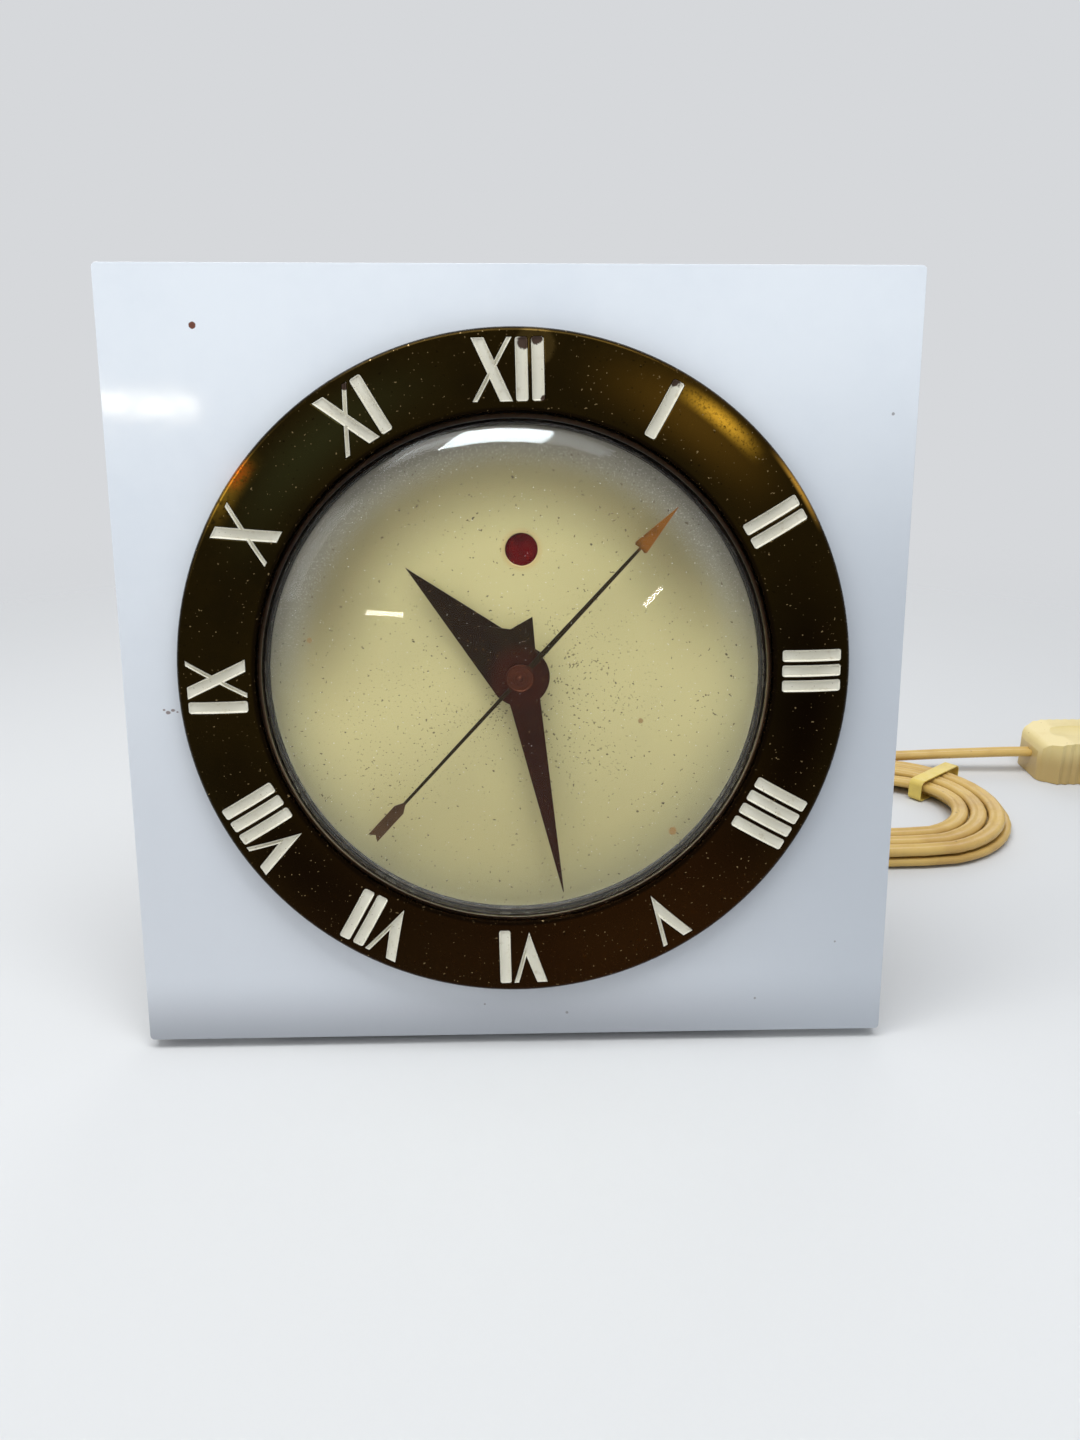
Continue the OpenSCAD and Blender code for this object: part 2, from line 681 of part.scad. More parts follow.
// Bent steel stand: an upright ring behind the panel and a foot plate with side flanges
module stand() {
    plate_start = bend_y + 4;
    plate_len = stand_end - plate_start;
    color("gray") difference() {
        union() {
            leaned() translate([0, 0, stand_back]) linear_extrude(stand_thick) union() {
                circle(r = stand_r);
                polygon([[-stand_w / 2, bend_up + 2], [stand_w / 2, bend_up + 2],
                    [stand_r * cos(20), -stand_r * sin(20)], [-stand_r * cos(20), -stand_r * sin(20)]]);
            }
            stand_strip();
            translate([0, plate_start, foot_h]) linear_extrude(stand_thick) union() {
                translate([0, plate_len / 2]) rounded_rect(stand_w, plate_len, stand_corner);
                translate([-stand_w / 2, 0]) square([stand_w, stand_corner + 1]);
            }
            for (s = [-1, 1])
                translate([s * (stand_w - stand_thick) / 2, plate_start + plate_len / 2, foot_h + side_flange_h / 2])
                    cube([stand_thick, plate_len - 2 * stand_corner - 2, side_flange_h], center = true);
        }
        leaned() post(panel_hole_r, stand_back - cut, pad_back + cut);
        leaned() at_studs() post(stud_r + stud_room, stand_back - cut, pad_back + cut);
        at_feet() post(foot_stem_r + face_gap / 2, foot_h - cut, foot_h + stand_thick + cut);
    }
}

module at_feet() {
    for (s = [-1, 1], y = [bend_y + 8, stand_end - 10]) translate([s * foot_x, y, 0]) children();
}

// Push-in rubber feet: a pad, a stem through the plate and a head that holds it
module rubber_feet() {
    color("black") at_feet() rotate_extrude() union() {
        square([foot_r - 0.6, foot_h]);
        translate([0, 0.6]) square([foot_r, foot_h - 0.6]);
        square([foot_stem_r, foot_h + stand_thick + 1]);
        translate([0, foot_h + stand_thick + face_gap / 2]) square([foot_stem_r + 1.1, 1]);
    }
}

// Drawn steel housing: a clamping flange, a straight wall and a rounded back edge
module housing() {
    round_z = housing_end + housing_round - housing_wall;
    lip_r = cover_r - 5;
    color("tan") leaned() difference() {
        rotate_extrude() union() {
            translate([housing_r - housing_wall, flange_back]) square([plate_r - housing_r + housing_wall, housing_wall]);
            translate([housing_r - housing_wall, round_z]) square([housing_wall, flange_back - round_z + housing_wall]);
            translate([housing_r - housing_round, round_z]) intersection() {
                difference() {
                    circle(r = housing_round);
                    circle(r = housing_round - housing_wall);
                }
                translate([0, -housing_round]) square(housing_round);
            }
            translate([lip_r, round_z - housing_round]) square([housing_r - housing_round - lip_r, housing_wall]);
        }
        at_studs() post(stud_r + stud_room, flange_back - cut, plate_back + cut);
        at_cover_screws() post(cover_screw_shank, housing_end - housing_wall - cut, housing_end + cut);
    }
}

module at_cover_screws() {
    for (a = cover_screw_angles) rotate([0, 0, a]) translate([cover_screw_r, 0, 0]) children();
}

// Pressed rear cover, dished outwards, with vents and the openings for knob and cord
module rear_cover() {
    back = housing_end - housing_wall;
    wall = housing_wall;
    color("tan") leaned() difference() {
        rotate_extrude() polygon([[0, back - cover_dish], [cover_flat_r, back - cover_dish], [cover_flat_r + cover_step, back],
            [cover_r, back], [cover_r, back - wall], [cover_flat_r + cover_step + wall / 2, back - wall],
            [cover_flat_r + wall / 2, back - cover_dish - wall], [0, back - cover_dish - wall]]);
        at_cover_screws() post(cover_screw_shank + 0.2, back - wall - cut, back + cut);
        translate([set_at[0], set_at[1], 0]) post(set_arbor_r + 0.9, cover_end - wall - cut, cover_end + cut);
        translate([relief_at[0], relief_at[1], 0]) post(relief_neck_r + face_gap / 2, cover_end - wall - cut, cover_end + cut);
        for (i = [0:vents - 1]) rotate([0, 0, 90 + (i - (vents - 1) / 2) * 14]) translate([36, 0, cover_end - wall - cut])
            linear_extrude(wall + 2 * cut) union() {
                square([12.4, 2.6], center = true);
                for (s = [-1, 1]) translate([s * 6.2, 0]) circle(r = 1.3);
            }
    }
}

module cover_screws() {
    back = housing_end - 2 * housing_wall;
    color("silver") leaned() at_cover_screws() difference() {
        union() {
            post(cover_screw_shank - 0.05, back - 0.5, housing_end + 2);
            translate([0, 0, back]) rotate_extrude() intersection() {
                translate([0, 1.6]) circle(r = 3.4);
                translate([0, -1.8]) square([2.7, 1.8]);
            }
        }
        translate([0, 0, back - 2]) cube([8, 0.7, 1.5], center = true);
    }
}

module stud_washers() {
    color("silver") leaned() at_studs() tube(washer_r, stud_r + stud_room / 2, flange_back - 0.5, flange_back);
}

module stud_nuts() {
    color("silver") leaned() at_studs() difference() {
        translate([0, 0, flange_back - 0.5 - nut_thick]) cylinder(r = 2 * stud_r + 0.2, h = nut_thick, $fn = 6);
        post(stud_r + 0.02, flange_back - nut_thick - 1, flange_back);
    }
}

// Steel plate that closes the housing's front and carries the movement and the dial
module mounting_plate() {
    color("lightsteelblue") leaned() difference() {
        post(plate_r, plate_back, stand_back);
        at_studs() post(stud_r + stud_room, plate_back - cut, stand_back + cut);
        translate([arbor_right, arbor_up, 0]) {
            post(minute_pipe_r + run_fit, plate_back - cut, stand_back + cut);
            translate([0, -set_dist, 0]) post(set_arbor_r + run_fit, plate_back - cut, stand_back + cut);
            translate([-third_dist, 0, 0]) post(pivot_r + run_fit, plate_back - cut, stand_back + cut);
            at_pillars() post(pillar_r - 1, plate_back - cut, stand_back + cut);
        }
    }
}

module at_pillars() {
    for (sx = [-1, 1], sy = [-1, 1]) translate([sx * pillar_at, sy * pillar_at, 0]) children();
}

module back_plate() {
    color("goldenrod") at_arbors() difference() {
        translate([0, 0, back_plate_end]) linear_extrude(back_plate_thick) rounded_rect(back_plate_w, back_plate_w, back_plate_corner);
        post(pivot_r + run_fit, back_plate_end - cut, back_plate_front + cut);
        translate([0, -set_dist, 0]) post(set_arbor_r + run_fit, back_plate_end - cut, back_plate_front + cut);
        translate([-third_dist, 0, 0]) post(pivot_r + run_fit, back_plate_end - cut, back_plate_front + cut);
        translate([0, rotor_dist, 0]) post(rotor_shaft_r + 3 * run_fit, back_plate_end - cut, back_plate_front + cut);
        at_pillars() post(pillar_screw_r + 0.1, back_plate_end - cut, back_plate_front + cut);
        at_core_posts() post(1.25, back_plate_end - cut, back_plate_front + cut);
    }
}

module pillars() {
    color("gold") at_arbors() at_pillars() difference() {
        union() {
            post(pillar_r, back_plate_front, plate_back);
            post(pillar_r - 1.02, plate_back - cut, stand_back);
        }
        post(pillar_screw_r, back_plate_front - cut, back_plate_front + pillar_tap);
    }
}

module pillar_screws() {
    color("silver") at_arbors() at_pillars() difference() {
        union() {
            post(pillar_screw_r - 0.02, back_plate_end - 0.5, back_plate_front + pillar_tap - 1);
            post(2.4, back_plate_end - 1.5, back_plate_end);
        }
        translate([0, 0, back_plate_end - 1.5]) cube([6, 0.6, 1.2], center = true);
    }
}

// Post on the mounting plate that the motion wheel turns on, with its retaining head
module motion_stud() {
    color("silver") beside_arbors(motion_dist, motion_dir) union() {
        post(motion_stud_r, stand_back, motion_pinion_top + face_gap);
        post(motion_stud_r + 0.8, stand_back, motion_z - face_gap);
        post(motion_stud_r + 0.7, motion_pinion_top + face_gap, motion_pinion_top + 0.5);
    }
}

// Post of the indicator's flag and the stop pin that it rests on
module flag_stud() {
    rest = flag_rest();
    color("silver") at_arbors() union() {
        translate([flag_pivot[0], flag_pivot[1], 0]) union() {
            post(flag_stud_r, stand_back, dial_back - 0.3);
            post(flag_stud_r + 0.9, stand_back, flag_back - 1.5);
        }
        translate([rest[0], rest[1], 0]) post(stop_r, stand_back, flag_back + flag_thick);
    }
}

// The plain field's centre and the flag's rest, from the window's centre
function turned(v, a) = [v[0] * cos(a) - v[1] * sin(a), v[0] * sin(a) + v[1] * cos(a)];
plain_from_pivot = turned(window_from_pivot, flag_swing);
function flag_rest() = flag_pivot + plain_from_pivot
    + turned(plain_from_pivot, 90) / norm(plain_from_pivot) * (flag_disc_r + stop_r + 0.05);

// Pivoted flag: a red field that shows in the window at rest, and a plain one below it
module indicator_flag() {
    reach = norm(window_from_pivot);
    dir = atan2(window_from_pivot[1], window_from_pivot[0]);
    color("firebrick") at_arbors() translate([flag_pivot[0], flag_pivot[1], flag_back]) difference() {
        union() {
            linear_extrude(flag_thick) union() {
                for (a = [0, flag_swing]) rotate([0, 0, dir + a]) {
                    translate([reach, 0]) circle(r = flag_disc_r);
                    translate([0, -1.2]) square([reach, 2.4]);
                }
                intersection() {
                    difference() {
                        circle(r = reach + flag_disc_r);
                        circle(r = reach - flag_disc_r);
                    }
                    polygon([[0, 0], 2 * reach * [cos(dir), sin(dir)],
                        2 * reach * [cos(dir + flag_swing), sin(dir + flag_swing)]]);
                }
                rotate([0, 0, dir + 180]) translate([0, -1.2]) square([6, 2.4]);
            }
            post(flag_stud_r + 1.1, -1.2, flag_thick);
        }
        post(flag_stud_r + run_fit, -1.2 - cut, flag_thick + cut);
    }
}

// A hand's roof: flat sides and a crease along it, as long as the hand
module creased(len_front, len_back, half_w) {
    rotate([90, 0, 0]) translate([0, 0, -len_front]) linear_extrude(len_front + len_back)
        polygon([[-half_w, 0], [half_w, 0], [half_w, hand_thick], [0, hand_thick + crease_h], [-half_w, hand_thick]]);
}

// Hour hand: a long triangle on a round hub
module hour_hand() {
    hub_r = 6.3;
    color("saddlebrown") at_arbors() rotate([0, 0, -hour_angle]) translate([0, 0, hour_z]) difference() {
        union() {
            intersection() {
                creased(hour_len, hub_r, hour_half_w + 1);
                linear_extrude(4) union() {
                    polygon([[-hour_half_w, 0], [hour_half_w, 0], [0, hour_len]]);
                    circle(r = hub_r);
                }
            }
            post(hour_pipe_r + 0.9, -0.4, hand_thick + crease_h);
        }
        post(hour_pipe_r + 0.01, -2, 3);
    }
}

// Minute hand: a tapering blade, a large hub and a notched fish tail
module minute_hand() {
    root = 4.6;
    color("saddlebrown") at_arbors() rotate([0, 0, -minute_angle]) translate([0, 0, minute_z]) difference() {
        union() {
            intersection() {
                creased(minute_len, tail_len, minute_hub_r + 1);
                linear_extrude(4) union() {
                    polygon([[-minute_half_w, 0], [minute_half_w, 0], [0.12, minute_len], [-0.12, minute_len]]);
                    circle(r = minute_hub_r);
                    polygon([[-root, 0], [-root, -5.6], [-tail_half_w, -tail_len], [0, 1.8 - tail_len],
                        [tail_half_w, -tail_len], [root, -5.6], [root, 0]]);
                }
            }
            post(minute_pipe_r + 0.9, -0.3, hand_thick + crease_h + 0.1);
        }
        post(minute_pipe_r + 0.01, -2, 3);
    }
}

// Second hand: a thin stem with an arrow head, and a paddle with a notched end for its tail
module second_hand() {
    arrow_len = 11.6;
    arrow_half = 1.7;
    paddle_len = 10.5;
    paddle_half = 1.35;
    notch = 1.3;
    color("peru") at_arbors() rotate([0, 0, -second_angle]) translate([0, 0, second_z]) difference() {
        union() {
            linear_extrude(hand_thick) union() {
                translate([-stem_w / 2, paddle_len - second_tail]) square([stem_w, second_tail + second_len - paddle_len - arrow_len + 1]);
                polygon([[-arrow_half, second_len - arrow_len - 0.6], [0, second_len - arrow_len + 0.6],
                    [arrow_half, second_len - arrow_len - 0.6], [0.1, second_len], [-0.1, second_len]]);
                polygon([[-paddle_half, notch - second_tail - notch], [0, notch - second_tail], [paddle_half, -second_tail],
                    [paddle_half, paddle_len - second_tail - paddle_half], [stem_w / 2, paddle_len - second_tail + 0.4],
                    [-stem_w / 2, paddle_len - second_tail + 0.4], [-paddle_half, paddle_len - second_tail - paddle_half]]);
                circle(r = 3.1);
            }
            post(1.45, -0.5, hand_hub_h);
        }
        post(second_arbor_r + 0.01, -1, hand_hub_h - 0.25);
    }
}

// Hour wheel on its pipe, which carries the hour hand
module hour_wheel() {
    color("gold") at_arbors() difference() {
        union() {
            translate([0, 0, hour_wheel_z]) gear(hour_teeth, hour_module, wheel_thick, 0, hour_phase);
            post(hour_pipe_r, hour_wheel_z, hour_z + hand_thick + crease_h + 0.1);
        }
        post(hour_bore, hour_wheel_z - cut, hour_z + 3);
    }
}

// Motion wheel and its pinion, one piece, on the motion stud
module motion_wheel() {
    color("gold") beside_arbors(motion_dist, motion_dir) difference() {
        union() {
            translate([0, 0, motion_z]) gear(motion_teeth, motion_module, motion_top - motion_z, 0, motion_phase);
            translate([0, 0, motion_top - 0.01])
                gear(motion_pinion_teeth, hour_module, motion_pinion_top - motion_top, 0, motion_pinion_phase);
        }
        post(motion_stud_r + run_fit, motion_z - cut, motion_pinion_top + cut);
    }
}

// Minute pipe with its cannon pinion in front of the plate and its shoulder behind it
module minute_arbor() {
    pipe_end = clutch_top - wheel_thick - 2.2;
    color("silver") at_arbors() difference() {
        union() {
            post(minute_pipe_r, pipe_end, minute_z + hand_thick + crease_h + 0.2);
            translate([0, 0, motion_z - 0.2]) gear(cannon_teeth, motion_module, motion_top - motion_z + 0.3, 0, cannon_phase);
            post(2.8, clutch_top + face_gap / 2, shoulder_top);
        }
        post(minute_bore, pipe_end - cut, minute_z + 3);
    }
}

// Large wheel that slips on the minute pipe when the hands are set
module clutch_wheel() {
    color("gold") at_arbors() translate([0, 0, clutch_top - wheel_thick]) difference() {
        gear(clutch_teeth, clutch_module, wheel_thick, minute_pipe_r + run_fit, clutch_phase);
        for (a = [45:90:315]) rotate([0, 0, a]) translate([9, 0, 0]) post(3.2, -cut, wheel_thick + cut);
    }
}

// Star washer that presses the clutch wheel against the shoulder
module clutch_spring() {
    top = clutch_top - wheel_thick - face_gap / 2;
    color("silver") at_arbors() union() {
        tube(3, minute_pipe_r + run_fit, top - 1, top - 0.7);
        for (a = [30, 150, 270]) rotate([0, 0, a]) union() {
            translate([2, -1, top - 1]) cube([3.6, 2, 0.3]);
            translate([5, -1, top - 1]) cube([0.6, 2, 1]);
        }
    }
}

module clutch_collar() {
    top = clutch_top - wheel_thick - face_gap / 2 - 1;
    color("silver") at_arbors() tube(2.4, minute_pipe_r + 0.01, top - 1, top);
}

// Arbor with turned pivots and a cut pinion
module cut_arbor(r, low, high, pinion_low, pinion_high, teeth, gear_m, phase) {
    union() {
        post(r, low, high);
        translate([0, 0, pinion_low]) gear(teeth, gear_m, pinion_high - pinion_low, 0, phase);
    }
}

module third_arbor() {
    color("silver") beside_arbors(third_dist, third_dir) union() {
        cut_arbor(1, back_plate_front + face_gap, plate_back - face_gap, third_top, clutch_top + pinion_over,
            pinion_teeth, clutch_module, third_pinion_phase);
        post(pivot_r, back_plate_end + 0.2, stand_back - 0.2);
    }
}

module third_wheel() {
    color("gold") beside_arbors(third_dist, third_dir) translate([0, 0, third_top - wheel_thick]) difference() {
        gear(third_teeth, gear_module, wheel_thick, 1.01, third_phase);
        for (a = [45:90:315]) rotate([0, 0, a]) translate([9, 0, 0]) post(3.2, -cut, wheel_thick + cut);
    }
}

module second_arbor() {
    color("silver") at_arbors() union() {
        cut_arbor(second_arbor_r, back_plate_front + face_gap, second_z + hand_hub_h - 0.35,
            third_top - wheel_thick - pinion_over, third_top + pinion_over, pinion_teeth, gear_module, second_pinion_phase);
        post(pivot_r, back_plate_end + 0.2, back_plate_front + 1);
    }
}

module second_wheel() {
    color("gold") at_arbors() translate([0, 0, second_top - wheel_thick]) difference() {
        gear(second_teeth, gear_module, wheel_thick, second_arbor_r + 0.01, second_phase);
        for (a = [45:90:315]) rotate([0, 0, a]) translate([7.6, 0, 0]) post(2.8, -cut, wheel_thick + cut);
    }
}

// Output pinion of the rotor's own gearing, on a shaft from the can
module rotor_pinion() {
    color("silver") beside_arbors(rotor_dist, rotor_dir)
        cut_arbor(rotor_shaft_r, can_front - 4, second_top + 0.6, second_top - wheel_thick - 0.4, second_top + 0.4,
            rotor_teeth, gear_module, rotor_phase);
}

// Sealed can that holds the rotor and its reduction gears in oil
module rotor_can() {
    color("darkgoldenrod") beside_arbors(rotor_dist, rotor_dir) difference() {
        rotate_extrude() polygon([[0, can_front], [can_nose, can_front], [can_nose + 0.6, can_front - 2], [can_r - 1, can_front - 5],
            [can_r, can_front - 6], [can_r, can_front - can_len], [can_r - 1, can_front - can_len - 0.6], [0, can_front - can_len - 0.6]]);
        post(rotor_shaft_r + run_fit, can_front - 4.2, can_front + cut);
    }
}

// Laminated core: a limb through the coil and two poles round the can, in x and y
module core_2d() {
    reach = can_r + arm_w - 1;
    arm_at = [limb_low - arm_w - 1, limb_high + 1];
    difference() {
        union() {
            translate([limb_x - limb_w / 2, arm_at[0]]) square([limb_w, arm_at[1] + arm_w - arm_at[0]]);
            for (y = arm_at) translate([limb_x, y]) square([pole_w / 2 - limb_x, arm_w]);
            translate([-pole_w / 2, rotor_dist + arm_w]) square([pole_w, reach - arm_w]);
            translate([-pole_w / 2, rotor_dist - reach]) square([pole_w, reach - arm_w]);
        }
        translate([0, rotor_dist]) circle(r = can_r + 0.1);
        for (p = core_post_at) translate(p) circle(r = 1.6);
    }
}

module at_core_posts() {
    for (p = core_post_at) translate([p[0], p[1], 0]) children();
}

module field_core() {
    color("dimgray") at_arbors() translate([0, 0, core_front - core_thick]) linear_extrude(core_thick) core_2d();
}

// Spacers and screws that hold the core to the back plate
module core_posts() {
    color("silver") at_arbors() at_core_posts() union() {
        post(1.5, core_front - core_thick - 0.4, core_front + 0.4);
        post(2.6, core_front, back_plate_end);
        post(1.2, back_plate_end - cut, back_plate_front);
        post(2.6, core_front - core_thick - 1.6, core_front - core_thick);
    }
}

// Bobbin between the core's arms: a square tube with two end flanges
module coil_bobbin() {
    core_mid = core_front - core_thick / 2;
    gap = 0.15;
    inner = [limb_w + 2 * gap, core_thick + 2 * gap];
    outer = inner + [2, 2] * bobbin_wall;
    full = outer + [2, 2] * (coil_build - 0.5);
    color("brown") at_arbors() translate([limb_x, limb_low, core_mid]) rotate([-90, 0, 0]) difference() {
        union() {
            linear_extrude(limb_high - limb_low) square(outer, center = true);
            for (z = [0.1, limb_high - limb_low - 1.3]) translate([0, 0, z]) linear_extrude(1.2) rounded_rect(full[0], full[1], 2);
        }
        translate([0, 0, -cut]) linear_extrude(limb_high) square(inner, center = true);
    }
}

module field_coil() {
    core_mid = core_front - core_thick / 2;
    inner = [limb_w + 0.4, core_thick + 0.4] + [2, 2] * bobbin_wall;
    full = inner + [2, 2] * (coil_build - 1);
    color("orangered") at_arbors() translate([limb_x, limb_low + 1.4, core_mid]) rotate([-90, 0, 0])
        linear_extrude(limb_high - limb_low - 2.8) difference() {
            rounded_rect(full[0], full[1], 3);
            square(inner, center = true);
        }
}

// Unit vectors, and a tube swept along points with a flat oval section: w wide and h high
function unit(v) = v / max(norm(v), 0.0001);
function along(p, i) = unit(p[min(i + 1, len(p) - 1)] - p[max(i - 1, 0)]);
function sideways(t) = unit(cross(t, abs(t[2]) > 0.98 ? [0, 1, 0] : [0, 0, 1]));
function oval(p, side, up, w, h, sides) = [for (k = [0:sides - 1])
    p + side * (w / 2 * cos(360 * k / sides)) + up * (h / 2 * sin(360 * k / sides))];
function swept(p, w, h, sides) = [for (i = [0:len(p) - 1]) let (t = along(p, i), s = sideways(t))
    oval(p[i], s, cross(s, t), w, h, sides)];

module skin(rings) {
    sides = len(rings[0]);
    last = len(rings) - 1;
    points = [for (ring = rings, q = ring) q];
    polyhedron(points, concat(
        [for (k = [1:sides - 2]) [0, k + 1, k]],
        [for (k = [1:sides - 2]) [last * sides, last * sides + k, last * sides + k + 1]],
        [for (i = [0:last - 1], k = [0:sides - 1]) let (a = i * sides + k, b = i * sides + (k + 1) % sides)
            [a, b, a + sides]],
        [for (i = [0:last - 1], k = [0:sides - 1]) let (a = i * sides + k, b = i * sides + (k + 1) % sides)
            [b, b + sides, a + sides]]), convexity = 8);
}

// The two leads from the coil to the cord, inside the housing, in the panel's frame
lead_wires = [[[-34, 8, -43.5], [-33.4, 0, -43.5], [-30, -10, -43.5], [-24, -19, -43.5], [-16, -27, -43.5], [-6, -33.4, -43.5],
        [4, -36.6, -43.5], [9.6, -37.4, -43.5], [11.3, -37.5, -43.6], [12.8, -37.6, -44], [14.2, -37.7, -44.8], [14.8, -37.7, -45.4]],
    [[-39, 8, -43.5], [-38.4, -2, -43.5], [-35, -13, -43.5], [-28, -23.6, -43.5], [-18, -32.4, -43.5], [-6, -38.4, -43.5],
        [6, -40.6, -43.5], [11.6, -40.6, -43.5], [13.2, -40.4, -43.6], [14.7, -40.2, -44], [16, -40, -44.8], [16.6, -39.9, -45.4]]];
module coil_leads() {
    color("black") leaned() for (wire = lead_wires) skin(swept(wire, 1.6, 1.6, 8));
}

// Arbor from the set knob to the set pinion, which meshes with the motion wheel
module set_arbor() {
    color("silver") beside_arbors(set_dist, motion_dir) union() {
        post(set_arbor_r, cover_end - 8.6, motion_top + 0.3);
        translate([0, 0, motion_z - 0.2]) gear(cannon_teeth, motion_module, motion_top - motion_z + 0.2, 0, set_phase);
        post(set_arbor_r + 1, plate_back - 1.2, plate_back - face_gap);
    }
}

// Fluted set knob behind the cover
module set_knob() {
    front = cover_end - housing_wall - 1.2;
    flutes = 24;
    color("ivory") beside_arbors(set_dist, motion_dir) difference() {
        rotate_extrude() polygon([[0, front], [knob_r * 0.6, front], [knob_r * 0.7, front - 1.4], [knob_r, front - 2],
            [knob_r, front - knob_len + 1], [knob_r - 1, front - knob_len], [knob_r - 2.4, front - knob_len], [knob_r - 3, front - knob_len + 0.6],
            [0, front - knob_len + 0.6]]);
        for (i = [0:flutes - 1]) rotate([0, 0, 360 / flutes * i]) translate([knob_r + 0.35, 0, 0])
            post(0.8, front - knob_len - cut, front - 2.6);
        post(set_arbor_r + 0.01, cover_end - 8.7, front + cut);
    }
}

// Rubber strain relief: inner and outer flange round the cover's edge and a ribbed taper
module strain_relief() {
    wall = housing_wall;
    grooves = 4;
    groove_step = 4.4;
    color("tan") leaned() translate([relief_at[0], relief_at[1], cover_end]) difference() {
        union() {
            post(relief_flange_r, 0.05, 1.05);
            post(relief_neck_r, -wall - cut, cut);
            post(relief_flange_r, -wall - 1.25, -wall - 0.05);
            translate([0, 0, -relief_len]) cylinder(r1 = relief_tip_r, r2 = relief_r, h = relief_len - 1.2);
        }
        for (i = [1:grooves]) translate([0, 0, -1.6 - i * groove_step]) tube(relief_r + 1, relief_tip_r - 0.2, -0.9, 0.9);
    }
}

module cord_lead() {
    color("burlywood") skin(swept(lead_route, cord_w, cord_h, 8));
}

// The coil's route: it winds in at a steady rate, climbs a layer and winds out again.
// turn counts the turns made, and each turn runs back, right, front, left
coil_half = coil_turns / 2;
function coil_in(turn) = coil_r - coil_pitch * min(turn, coil_turns - turn);
function coil_up(turn) = coil_z + layer_pitch * max(0, min(1, (turn - coil_half) * 2 + 0.5));
function coil_at(turn) = let (a = 360 * turn, r = coil_in(turn))
    [coil_centre[0] + coil_straight / 2 * max(-1, min(1, 3.86 * sin(a))) + r * sin(a), coil_centre[1] + r * cos(a), coil_up(turn)];
coil_route = [for (i = [0:coil_turns * coil_rings]) coil_at(i / coil_rings)];
coil_skin = [for (i = [0:len(coil_route) - 1])
    let (t = i == 0 || i == len(coil_route) - 1 ? [1, 0, 0] : along(coil_route, i), s = unit(cross(t, [0, 0, 1])))
    oval(coil_route[i], s, cross(s, t), cord_w, cord_h, 6)];

// The least distance between points of the coil's skin that are half a turn or more apart
coil_gap = min([for (i = [0:len(coil_skin) - 1], j = [i + coil_rings / 2:1:len(coil_skin) - 1])
    if (norm(coil_route[i] - coil_route[j]) < 2 * cord_w) min([for (p = coil_skin[i], q = coil_skin[j]) norm(p - q)])]);
echo(coil_gap = coil_gap);

module cord_coil() {
    color("burlywood") skin(coil_skin);
}

module cord_tail() {
    color("burlywood") skin(swept(tail_route, cord_w, cord_h, 8));
}

// Band round both layers of the coil, on the side where the tail leaves it
module cord_tie() {
    inner_r = coil_r - coil_pitch * coil_half - cord_w / 2 - 0.6;
    outer_r = coil_r + cord_w / 2 + 0.6;
    high = layer_pitch + cord_h + 0.6;
    span = outer_r - inner_r;
    start = [coil_centre[0] + coil_straight / 2, coil_centre[1]];
    color("khaki") translate([start[0], start[1], coil_z - cord_h / 2 - 0.05]) rotate([0, 0, 90 - tie_phase])
        translate([(inner_r + outer_r) / 2, 0, high / 2]) rotate([90, 0, 0]) linear_extrude(tie_w, center = true)
            difference() {
                rounded_rect(span + 2 * tie_thick, high + 2 * tie_thick, 2);
                rounded_rect(span, high, 1.5);
            }
}

// Plug body, along x from the cord's end: its plan and its side view cut each other out
module plug_body() {
    half = plug_w / 2;
    end_half = plug_end_w / 2;
    color("palegoldenrod") translate([plug_at[0], plug_at[1], 0]) difference() {
        intersection() {
            linear_extrude(plug_h) union() {
                polygon([[0, 2 - end_half], [2, -end_half], [8, -end_half - 0.8], [15, -half], [24, -half], [plug_len - 3, 2.5 - half],
                    [plug_len, 5.5 - half], [plug_len, half - 5.5], [plug_len - 3, half - 2.5], [24, half], [15, half],
                    [8, end_half + 0.8], [2, end_half], [0, end_half - 2]]);
            }
            rotate([90, 0, 0]) linear_extrude(plug_w + 2, center = true)
                polygon([[0, 1], [1, 0], [plug_len - 1, 0], [plug_len, 1], [plug_len, plug_h - 2.6], [plug_len - 2, plug_h - 1],
                    [plug_len * 0.62, plug_h], [plug_len * 0.3, plug_h], [3, plug_h - 2], [0, plug_h - 5]]);
        }
        for (s = [-1, 1], i = [0:2]) translate([15.8 + 3.7 * i, s * (half + 0.6), -cut]) cylinder(r = 1.3, h = plug_h + 2 * cut);
        for (s = [-1, 1])
            translate([plug_len - 8, s * blade_pitch / 2 - blade_thick / 2 - 0.02, (plug_h - blade_w) / 2 - 0.02])
                cube([9, blade_thick + 0.04, blade_w + 0.04]);
    }
}

// Two flat blades with a hole near each tip
module plug_blades() {
    color("silver") translate([plug_at[0], plug_at[1], plug_h / 2])
        for (s = [-1, 1]) translate([plug_len - 7.9, s * blade_pitch / 2, 0]) difference() {
            rotate([90, 0, 0]) linear_extrude(blade_thick, center = true)
                polygon([[0, -blade_w / 2], [7.9 + blade_len - 1.5, -blade_w / 2], [7.9 + blade_len, 0.7 - blade_w / 2],
                    [7.9 + blade_len, blade_w / 2 - 0.7], [7.9 + blade_len - 1.5, blade_w / 2], [0, blade_w / 2]]);
            translate([7.9 + blade_len - 4, 0, 0]) rotate([90, 0, 0]) cylinder(r = 1.3, h = 4, center = true);
        }
}

